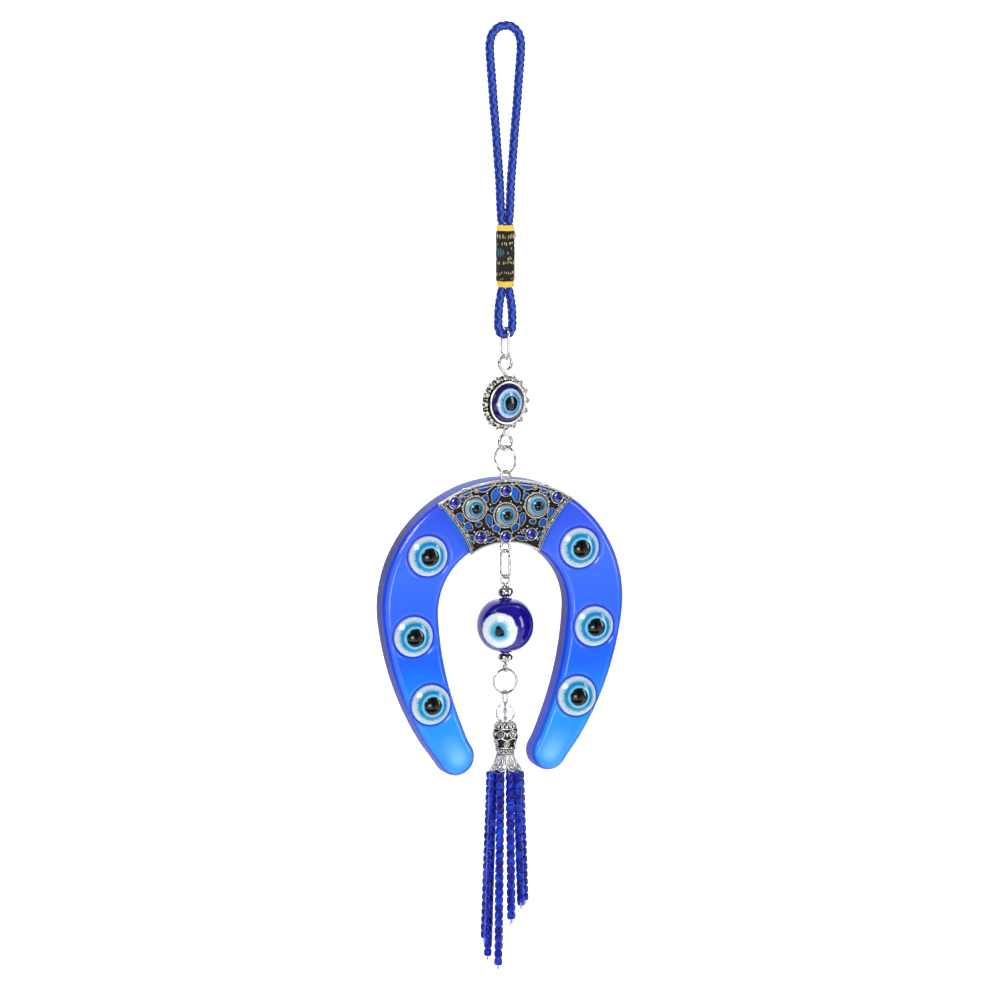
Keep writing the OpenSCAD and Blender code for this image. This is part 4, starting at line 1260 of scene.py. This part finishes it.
stone_rows = [(1.70, 0, 8), (1.72, 0.95, 8), (1.62, 1.15, 8), (1.25, 1.62, 8), (0.82, 1.85, 8)]
stone_shapes = [fan_of_rows(stone_rows).moved(facing_front(*on_plate(*place, SEAT_Y))) for place in STONES]
piece("cut_stones", stone_shapes, "horseshoe", [gem_finish()], ["rhinestones"], crease=8)

# %% [markdown]
# ## Glass eye bead on its pin
# A wire with a turned loop at each end carries the bead between two small silver beads. The bead is
# lampwork: a barrel of cobalt glass with a white spot melted on, then a smaller cyan spot and a black one.
# Spots melted on by hand are never quite round or centred, and they stand a little above the bead.

# %% Pin and silver beads
pin_low, pin_high = low_mm("eye_pin")[2], high_mm("eye_pin")[2]
PIN_WIRE, PIN_LOOP_R = 0.7, 1.3


def turned_loop(top, radius, wire, turn, down=1, steps=44):
    """An open loop at a wire's end: almost a whole turn, its end closed against the shaft."""
    a = np.linspace(math.radians(-82), math.radians(262), steps)
    line = np.stack([radius * np.cos(a), 0.0 * a, radius * np.sin(a) * down], axis=1)
    place = Matrix.Translation((0, 0, top - down * (radius + wire / 2)))
    return tube(line, wire, sides=14).moved(place @ Matrix.Rotation(math.radians(turn), 4, "Z"))


pin_line = [(0, 0, z) for z in (pin_low + 3.1, (pin_low + pin_high) / 2, pin_high - 3.1)]
pin_shapes = [
    turned_loop(pin_high, PIN_LOOP_R, PIN_WIRE, 0), turned_loop(pin_low, PIN_LOOP_R, PIN_WIRE, 90, down=-1),
    tube(pin_line, PIN_WIRE, sides=14),
]
piece("looped_pin", pin_shapes, "eye_pin", [silver], ["eye_pin"], crease=50)


def silver_bead(name, node, body):
    """A turned bead with a fine collar at each end and a shallow groove beside it."""
    low, high = low_mm(node), high_mm(node)
    r, h = high[0], high[2] - low[2]
    profile = [(0.46, 0), (0.46 * r, 0), (0.52 * r, 0.03 * h), (0.50 * r, 0.10 * h), (0.60 * r, 0.13 * h)]
    for i in range(1, 16):
        t = -1 + i / 8
        profile.append((r * (0.60 + 0.40 * (1 - t * t) ** 0.5), h * (0.5 + 0.36 * t)))
    profile += [(0.60 * r, 0.87 * h), (0.50 * r, 0.90 * h), (0.52 * r, 0.97 * h), (0.46 * r, h), (0.46, h)]
    shape = lathe(profile + [(0.46, 0)], 48).moved(Matrix.Translation((0, 0, low[2])))
    piece(name, [shape], body, [silver], [node], crease=35)


silver_bead("silver_bead_above", "upper_spacer", "eye_pin")
silver_bead("silver_bead_below", "lower_spacer", "eye_pin")

# %% Glass bead
GLASS_EYE_TURN, GLASS_EYE_DROP, SPOT_R, SPOT_RISE = -32.0, -4.0, 5.45, 0.28
glass_low, glass_high = low_mm("glass_eye_bead"), high_mm("glass_eye_bead")
glass_r, glass_z = glass_high[0], (glass_low[2] + glass_high[2]) / 2
COLLAR_R, COLLAR_H, PIN_BORE_R = 2.0, 0.45, 0.45


def glass_shape():
    half = glass_high[2] - glass_z - COLLAR_H
    profile = [(PIN_BORE_R, half + COLLAR_H), (COLLAR_R - 0.15, half + COLLAR_H),
               (COLLAR_R, half + COLLAR_H - 0.12), (COLLAR_R, half)]
    for i in range(57):
        t = 1 - 2 * i / 56
        profile.append((COLLAR_R + 0.6 + (glass_r - COLLAR_R - 0.6) * (1 - abs(t) ** 2.0) ** 0.56, half * t))
    profile += [(r, -h) for r, h in profile[3::-1]]
    profile.append(profile[0])
    bead = lathe(profile, 112)
    turn, drop = math.radians(GLASS_EYE_TURN), math.radians(GLASS_EYE_DROP)
    look = np.array((math.sin(turn) * math.cos(drop), -math.cos(turn) * math.cos(drop), math.sin(drop)))
    right = np.array((math.cos(turn), math.sin(turn), 0.0))
    above = np.cross(right, look)
    above = above if above[2] > 0 else -above
    seen = bead.points @ look
    across, up = bead.points @ right, bead.points @ above
    away = np.hypot(across, up) + np.where(seen > 0, 0, 50)
    spot = np.clip((SPOT_R + 0.35 - away) / 0.7, 0, 1)
    bead.points += look * (SPOT_RISE * eased(spot))[:, None]
    bead.grain = np.stack([np.where(seen > 0, 0.0, 50.0), across, up], axis=1)
    return bead.moved(Matrix.Translation((0, 0, glass_z)))


# Each spot: its middle, its radius, how soft its edge is, and its colour.
GLASS_SPOTS = [((0, 0), 5.4, 0.15, "f3fbff"), ((0.1, 0.1), 3.2, 0.7, "7fd2ec"),
               ((0.2, 0), 2.3, 0.8, "39a7d0"), ((0.3, -0.2), 1.45, 0.2, "010203"),
               ((0, 1), 0.75, 0.2, "010203")]


def glass_finish():
    """Cobalt glass with a white spot, a cyan spot and a black spot, each a little off the one below."""
    finish = Finish("cobalt_glass", Roughness=0.06, IOR=1.5)
    where = finish.place("grain")
    streaks = finish.noise(finish.place("object", (300, 300, 700)), 0.9, 3.0)
    colour = finish.ramp(streaks, [(0.3, tint("12087c")), (0.7, tint("2210a6"))])
    parts, ragged = finish.split(where), finish.ragged(where, 0.7, 2.0, 1.4)
    for (x, y), radius, edge, code in GLASS_SPOTS:
        away = finish.away(finish.less(parts[1], x), finish.less(parts[2], y))
        away = finish.added(finish.added(away, parts[0]), finish.times(ragged, 0.6))
        colour = finish.mix(finish.remap(away, radius + edge, radius - edge), colour, tint(code))
    finish.feed("Base Color", colour)
    return finish.material


piece("lampwork_bead", [glass_shape()], "glass_eye", [glass_finish()], ["glass_eye_bead"],
      crease=40)

# %% [markdown]
# ## Tassel caps and crystal
# The tassel hangs from its own pin. On the pin sit a clear faceted crystal, a vase-shaped cap, and a flared
# cap of petals. The caps are thin castings with raised scrolls over a dark ground, and the lower one is
# open between its wires, so the thread ends inside it show a little.

# %% Tassel pin and crystal
TASSEL_WIRE = 0.6
tassel_pin_top = high_mm("tassel_pin")[2]
loop = [(0.0, x, z) for x, _, z in oval_line(4.4, 2.6, TASSEL_WIRE, 0.745, gap=0.02)]
loop_place = (Matrix.Translation((0, 0, tassel_pin_top - TASSEL_WIRE / 2))
              @ Matrix.Rotation(math.radians(22), 4, "Z"))
loop_shape = tube(loop, TASSEL_WIRE, sides=14).moved(loop_place)
shaft_line = [(0, 0, z) for z in np.linspace(tassel_pin_top - 4.1, low_mm("tassel_pin")[2], 5)]
piece("tassel_wire", [loop_shape, tube(shaft_line, TASSEL_WIRE, sides=14)], "tassel", [silver],
      ["tassel_pin"], crease=50)


def clear_finish(name, colour, rough=0.03):
    """Clear glass or nylon with a trace of cloudiness."""
    finish = Finish(name, Transmission_Weight=0.92, IOR=1.5)
    cloud = finish.noise(finish.place("object", IN_MM), 0.8, 3.0)
    finish.feed("Base Color", finish.ramp(cloud, [(0.3, tuple(c * 0.86 for c in colour)), (0.7, colour)]))
    finish.feed("Roughness", finish.span(cloud, rough, rough + 0.05))
    return finish.material


crystal_low, crystal_high = low_mm("crystal_bead")[2], high_mm("crystal_bead")[2]
crystal_r, crystal_h = high_mm("crystal_bead")[0], crystal_high - crystal_low
CRYSTAL_SIDE = [(0.42, 0.0), (0.70, 0.10), (0.96, 0.32), (1.0, 0.5), (0.96, 0.68), (0.70, 0.90), (0.42, 1.0)]
crystal_rows = [(crystal_r * share, crystal_h * at, 10) for share, at in CRYSTAL_SIDE]
crystal = fan_of_rows(crystal_rows).moved(Matrix.Translation((0, 0, crystal_low)))
piece("faceted_crystal", [crystal], "tassel",
      [clear_finish("clear_crystal", (0.97, 0.98, 1.0))], ["crystal_bead"], crease=8)

# %% Vase cap
vase_top, vase_low = high_mm("vase_cap")[2], low_mm("vase_cap")[2]
VASE_R, VASE_H = 3.7, vase_top - vase_low
VASE_SIDE = [(0.0, 0.72), (0.06, 0.86), (0.12, 0.91), (0.20, 0.95), (0.30, 0.985), (0.40, 1.0), (0.50, 0.985),
             (0.62, 0.93), (0.74, 0.865), (0.84, 0.80), (0.92, 0.75), (1.0, 0.70)]


def vase_r(share):
    return VASE_R * float(np.interp(share, [s for s, _ in VASE_SIDE], [r for _, r in VASE_SIDE]))


def on_vase(degrees, share, out=0.0):
    a, r = math.radians(degrees), vase_r(share) + out
    return (r * math.cos(a), r * math.sin(a), vase_top - share * VASE_H)


def wired(places, width, closed=False):
    """A wire laid on the vase through (degrees, share of the height) places."""
    line = [on_vase(a, s) for a, s in places]
    return tube(line if closed else smooth_line(line, 0.18), width, sides=8, closed=closed)


def both_ways(a, places):
    """Places up to an angle and the same ones mirrored after it, as (degrees off, share of the height)."""
    return [(a - off, s) for off, s in places] + [(a + off, s) for off, s in places[-2::-1]]


VASE_PETALS, VASE_SCROLLS = 8, 6


def vase_shapes():
    outer = [(vase_r(s) - 0.22, vase_top - s * VASE_H) for s in np.linspace(0, 1, 40)]
    inner = [(max(0.4, r - 0.45), z - (0.4 if i < 3 else 0)) for i, (r, z) in enumerate(outer)]
    shapes = [lathe([(0.4, vase_top)] + outer + inner[::-1], 64).wearing(1)]
    for k in range(VASE_PETALS * 2):
        a = 180 * k / VASE_PETALS
        shapes.append(wired(both_ways(a, [(8, 0.13), (7, 0.05), (0, 0.005)]), 0.38))
        shapes.append(ball(on_vase(a, 0.015, 0.1), 0.36, 10))
    for k in range(VASE_SCROLLS):
        a = 360 * (k + 0.35) / VASE_SCROLLS
        spiral = []
        for t in np.linspace(0, 1, 40):
            r, turn = 1.12 * (1 - 0.80 * t), 2 * math.pi * (1.6 * t + 0.2)
            spiral.append((a + math.degrees(r * math.cos(turn) / VASE_R), 0.66 + r * math.sin(turn) / VASE_H))
        shapes.append(wired(spiral, 0.42))
        shapes.append(ball(on_vase(*spiral[-1], 0.02), 0.3, 10))
        middle = a + 180 / VASE_SCROLLS
        for wide, width in ((1.0, 0.46), (0.42, 0.4)):
            turns = np.linspace(0, 2 * math.pi, 24, endpoint=False)
            drop = [(middle + wide * 17 * math.cos(t) * (1 - 0.35 * math.sin(t)),
                     0.345 + wide * 0.125 * math.sin(t)) for t in turns]
            shapes.append(wired(drop, width, closed=True))
        for way in BOTH_SIDES:
            shapes.append(wired([(a + 12 * way, 0.26), (a + 4 * way, 0.31), (a, 0.40)], 0.4))
    zigzag = [(360 * i / (VASE_SCROLLS * 2) + 21, 0.455 if i % 2 else 0.545) for i in range(VASE_SCROLLS * 2)]
    for start, end in zip(zigzag, zigzag[1:] + [(zigzag[0][0] + 360, zigzag[0][1])]):
        shapes.append(wired([start, ((start[0] + end[0]) / 2, (start[1] + end[1]) / 2), end], 0.5))
    for s, width in ((0.165, 0.42), (0.80, 0.42), (0.985, 0.4)):
        shapes.append(wired([(360 * i / 64, s) for i in range(64)], width, closed=True))
    for k in range(12):
        a = 30 * k
        shapes.append(wired(both_ways(a, [(12, 0.84), (10, 0.90), (0, 0.955)]), 0.4))
        shapes.append(ball(on_vase(a, 0.87), 0.3, 10))
    collar = lathe([(0.38, 0.18), (1.1, 0.2), (1.55, 0.0), (1.5, -0.25), (0.38, -0.25), (0.38, 0.18)], 40)
    shapes.append(collar.moved(Matrix.Translation((0, 0, vase_top - 0.16))))
    return shapes


piece("vase_casting", vase_shapes(), "tassel", [antique, dark_wash], ["vase_cap"],
      crease=45)

# %% Petal cap
petal_top, petal_low = high_mm("petal_cap")[2], low_mm("petal_cap")[2]
PETALS, PETAL_TOP_R, PETAL_RIM_R, BENT_PETAL, BENT_BY = 8, 2.5, 4.62, 7, 0.35
PETAL_EDGE = [(1, 0.42), (0.92, 0.74), (0.45, 0.93), (0, 1)]


def on_petals(degrees, share, flare=0.0):
    """A place on the flared cap: a share of the way down, and how far the petal is bent outwards."""
    a = math.radians(degrees)
    r = PETAL_TOP_R + (PETAL_RIM_R - PETAL_TOP_R) * (0.18 * share + 0.82 * share**1.6) + flare * share**2
    return (r * math.cos(a), r * math.sin(a), petal_top - 0.3 - share * (petal_top - petal_low - 0.5))


def petal_shapes():
    crown = lathe([(0.4, 0), (2.2, 0), (2.55, -0.25), (2.6, -0.7), (2.3, -0.8), (2.1, -0.4), (0.4, -0.4),
                   (0.4, 0)], 56)
    shapes = [crown.moved(Matrix.Translation((0, 0, petal_top)))]
    step = 360 / PETALS
    for k in range(PETALS):
        a, flare = step * (k + 0.25), BENT_BY if k == BENT_PETAL else 0.0
        for wide, width, low in ((0.47, 0.5, 1.0), (0.25, 0.34, 0.72)):
            half = [(step * 0.30 * wide / 0.47, 0.02)]
            half += [(step * wide * off, low * at) for off, at in PETAL_EDGE]
            shapes.append(tube(smooth_line([on_petals(*p, flare) for p in both_ways(a, half)], 0.16), width,
                               sides=8))
        shapes.append(tube([on_petals(a, s, flare) for s in np.linspace(0.02, 0.5, 7)], 0.4, sides=8))
        shapes.append(ball(on_petals(a, 0.56, flare), 0.36, 10))
        shapes.append(ball(on_petals(a + step / 2, 0.50), 0.3, 10))
        shapes.append(ball(on_petals(a, 0.86, flare), 0.26, 10))
    return shapes


piece("petal_casting", petal_shapes(), "tassel", [antique], ["petal_cap"], crease=45)

# %% [markdown]
# ## Strands
# Ten clear threads come down from one knot inside the caps. Each carries a row of seed beads: short rings
# cut from drawn glass tube and fire-polished, so their edges are round, their holes wide, and no two quite
# alike. Each bead here is turned from that rounded section, then given its own small tilt and size. The
# seed of the random numbers is fixed, so the same beads come out each time. A knot and a curled end finish
# each thread.

# %% Seed glass and thread
def seed_glass():
    """Royal-blue glass, clear enough that light gathers inside it."""
    finish = Finish("seed_glass", Transmission_Weight=0.22, IOR=1.45, Specular_IOR_Level=0.4)
    where = finish.place("object", IN_MM)
    tone = finish.noise(where, 0.45, 2.0)
    finish.feed("Base Color", finish.ramp(tone, [(0.32, tint("060c78")), (0.5, tint("0c20bc")),
                                                 (0.68, tint("1f58f2"))]))
    finish.feed("Roughness", finish.span(finish.noise(where, 1.6, 2.0), 0.04, 0.16))
    return finish.material


seed_material = seed_glass()
thread_material = clear_finish("clear_thread", (0.80, 0.84, 0.95), 0.2)
STRANDS, FIRST_TURN, STRAND_CIRCLE_R, STRAND_LEAN = 10, -20.0, 4.55, 2.0
SEED_COUNTS = [17, 18, 20, 24, 23, 22, 24, 25, 19, 17]
ODD_SEED = (8, 1)
SEED_START, SEED_PITCH, THREAD_D, THREAD_TAIL = 1.2, 2.36, 0.4, 0.8
strand_top = high_mm("strand_01_thread")[2] - 0.3


def seed_section(outer=1.32, hole=0.40, half=1.16, steps=14):
    """The rounded section of one seed bead, as a closed profile."""
    middle, reach = (outer + hole) / 2, (outer - hole) / 2
    section = []
    for i in range(steps + 1):
        a = 2 * math.pi * i / steps
        c, s = math.cos(a), math.sin(a)
        section.append((middle + reach * math.copysign(abs(c) ** 0.9, c),
                        half * math.copysign(abs(s) ** 0.85, s)))
    return section


SEED = lathe(seed_section(), 20)


def strand_place(i):
    turn = Matrix.Rotation(math.radians(FIRST_TURN + 360 / STRANDS * i), 4, "Z")
    lean = Matrix.Rotation(math.radians(-STRAND_LEAN), 4, "Y")
    return turn @ Matrix.Translation((STRAND_CIRCLE_R, 0, strand_top)) @ lean


def seeds(i, rng):
    made = []
    for k in range(SEED_COUNTS[i]):
        size, tilt = rng.uniform(0.94, 1.0), rng.gauss(0, 3.0)
        if (i, k) == ODD_SEED:
            size, tilt = 0.9, 12.0
        place = (Matrix.Translation((0, 0, -SEED_START - k * SEED_PITCH))
                 @ Matrix.Rotation(rng.uniform(0, 6.3), 4, "Z") @ Matrix.Rotation(math.radians(tilt), 4, "X")
                 @ Matrix.Diagonal((size, size, rng.uniform(0.94, 1.0), 1)))
        made.append(SEED.moved(place))
    return [s.moved(strand_place(i)) for s in made]


def thread(i, rng):
    """The thread through the beads, its knot, and two curled ends below it."""
    length = SEED_START + (SEED_COUNTS[i] - 0.5) * SEED_PITCH + THREAD_TAIL
    made = [ball((0, 0, 0), 0.3, 12),
            tube([(0, 0, 0), (0, 0, -length / 2), (0, 0, -length)], THREAD_D, sides=10),
            ball((0, 0, -length), 0.34, 12), ball((0.16, 0.1, -length + 0.3), 0.27, 10)]
    for _ in range(2):
        turn, bend = rng.uniform(0, 6.3), rng.uniform(0.5, 1.1)
        line = []
        for t in np.linspace(0, 1, 12):
            reach = 1.5 * bend * t
            line.append((reach * math.cos(turn + 1.2 * t), reach * math.sin(turn + 1.2 * t),
                         -length - 0.9 * math.sin(2.4 * t)))
        made.append(tube(line, 0.2, sides=8))
    return [s.moved(strand_place(i)) for s in made]


bead_rng = random.Random(11)
for i in range(STRANDS):
    body = f"strand_{i + 1:02d}"
    piece(f"{body}_seeds", seeds(i, bead_rng), body, [seed_material], [f"{body}_beads"],
          crease=60)
    piece(f"{body}_line", thread(i, bead_rng), body, [thread_material], [f"{body}_thread"],
          crease=60)


# %% Knot inside the caps
def knot_shapes(rng):
    """The thread ends wound round the pin's end, and one thread out to each strand."""
    r = high_mm("tassel_pin")[0] + 0.7
    centre = np.array((0.0, 0.0, petal_top - 2.3))
    shapes = [ball(centre, r, 20)]
    for _ in range(7):
        spin = Matrix.Rotation(rng.uniform(0, 3.1), 4, "X") @ Matrix.Rotation(rng.uniform(0, 3.1), 4, "Y")
        winding = ring((0, 0, 0), r, THREAD_D * 0.8, 8, 32)
        shapes.append(winding.moved(Matrix.Translation(Vector(centre)) @ spin))
    for i in range(STRANDS):
        a = math.radians(FIRST_TURN + 360 / STRANDS * i)
        start = centre + np.array((0.8 * math.cos(a), 0.8 * math.sin(a), 0))
        end = np.array((STRAND_CIRCLE_R * math.cos(a), STRAND_CIRCLE_R * math.sin(a), strand_top))
        shapes.append(tube(start + (end - start) * np.linspace(0, 0.93, 6)[:, None], THREAD_D, sides=8))
    return shapes


piece("wound_knot", knot_shapes(random.Random(3)), "tassel", [thread_material],
      ["thread_knot"], crease=60)

# %% [markdown]
# ## Carried-over nodes
# Anything of the skeleton that no piece stands for would show as a plain solid, so this step looks for such
# nodes and reports them. There should be none.

# %% Look for plain solids
seen_meshes = [o for o in bpy.data.objects if o.type == "MESH" and not o.hide_render]
left_plain = [o.name for o in seen_meshes if not o.data.materials]
print("meshes without a finish:", left_plain)

# %% [markdown]
# ## Floor, backdrop and light
# The ornament hangs in front of a white wall that sweeps into a pale floor. Silver and glass show what
# surrounds them, so the light comes from large soft panels with darker air between: one from the upper left
# in front, one from the right, and a low one in front that lifts the beads.

# %% Sweep
FLOOR_Z, WALL_Y = -0.62, 0.9


def sweep():
    """A floor that curves up into a wall behind. Its back is clear, so the ornament's back shows too."""
    bend, line = 0.4, [(-4.0, FLOOR_Z), (WALL_Y - 0.4, FLOOR_Z)]
    for k in range(1, 13):
        a = math.pi / 2 * k / 12
        line.append((WALL_Y - bend + bend * math.sin(a), FLOOR_Z + bend - bend * math.cos(a)))
    line.append((WALL_Y, 4.0))
    points = [(x, y, z) for y, z in line for x in (-4.0, 4.0)]
    faces = [(2 * i, 2 * i + 1, 2 * i + 3, 2 * i + 2) for i in range(len(line) - 1)]
    mesh = bpy.data.meshes.new("sweep")
    mesh.from_pydata(points, [], faces)
    mesh.polygons.foreach_set("use_smooth", np.ones(len(faces), bool))
    finish = Finish("paper", Roughness=0.9, Emission_Color=(1, 1, 1, 1), Emission_Strength=0.42)
    grain = finish.noise(finish.place("object"), 60.0, 3.0)
    finish.feed("Base Color", finish.ramp(grain, [(0.3, (0.93, 0.93, 0.93)), (0.7, (0.96, 0.96, 0.96))]))
    one_sided = finish.add("MixShader")
    finish.link(finish.add("NewGeometry").outputs["Backfacing"], one_sided.inputs[0])
    finish.link(finish.shader.outputs[0], one_sided.inputs[1])
    finish.link(finish.add("BsdfTransparent").outputs[0], one_sided.inputs[2])
    finish.link(one_sided.outputs[0], finish.tree.nodes["Material Output"].inputs["Surface"])
    mesh.materials.append(finish.material)
    shown("sweep", mesh)


sweep()


# %% Lights
def aimed(made, place, aim):
    """Stands an object at a place, looking at a point."""
    made.location = place
    made.rotation_euler = (Vector(aim) - Vector(place)).to_track_quat("-Z", "Y").to_euler()


def panel(name, place, aim, size, watts):
    """A soft light panel that looks at a point."""
    data = bpy.data.lights.new(name, "AREA")
    data.shape, data.size, data.size_y = "RECTANGLE", size[0], size[1]
    data.energy = watts
    aimed(shown(name, data), place, aim)


MIDDLE = (0, 0, -0.14)
panel("key", (-0.75, -0.95, 0.55), MIDDLE, (0.5, 0.5), 9.0)
panel("fill", (1.05, -0.75, 0.1), MIDDLE, (0.25, 0.8), 5.0)
panel("front", (-0.1, -1.6, -0.35), MIDDLE, (0.4, 0.3), 3.6)
panel("wall_wash", (0, 0.25, 0.9), (0, WALL_Y, -0.2), (2.0, 0.4), 9)


def dark_card(name, place, size):
    """A black card that shows only in reflections, where it gives the silver its dark lines."""
    corners = [(x * size[0] / 2, y * size[1] / 2, 0) for x, y in ((-1, -1), (1, -1), (1, 1), (-1, 1))]
    mesh = bpy.data.meshes.new(name)
    mesh.from_pydata(corners, [], [(0, 1, 2, 3)])
    finish = Finish("black_felt", Roughness=1.0)
    felt = finish.noise(finish.place("object"), 90.0, 3.0)
    finish.feed("Base Color", finish.ramp(felt, [(0.3, (0.004, 0.004, 0.005)), (0.7, (0.012, 0.012, 0.014))]))
    mesh.materials.append(finish.material)
    made = shown(name, mesh)
    made.visible_camera = False
    aimed(made, place, MIDDLE)


dark_card("card_left", (-0.50, -0.12, -0.14), (0.30, 0.9))
dark_card("card_right", (0.50, -0.05, -0.14), (0.30, 0.9))
dark_card("card_front", (0.35, -1.15, -0.05), (0.26, 1.0))
dark_card("card_low", (0.0, -0.45, -0.60), (0.8, 0.35))

world = bpy.data.worlds.new("studio")
bpy.context.scene.world = world
world.use_nodes = True
sky = world.node_tree.nodes["Background"]
sky.inputs["Color"].default_value = (0.93, 0.95, 1.0, 1)
sky.inputs["Strength"].default_value = 0.22
bpy.context.scene.view_settings.view_transform = "Standard"
print("lights ready")
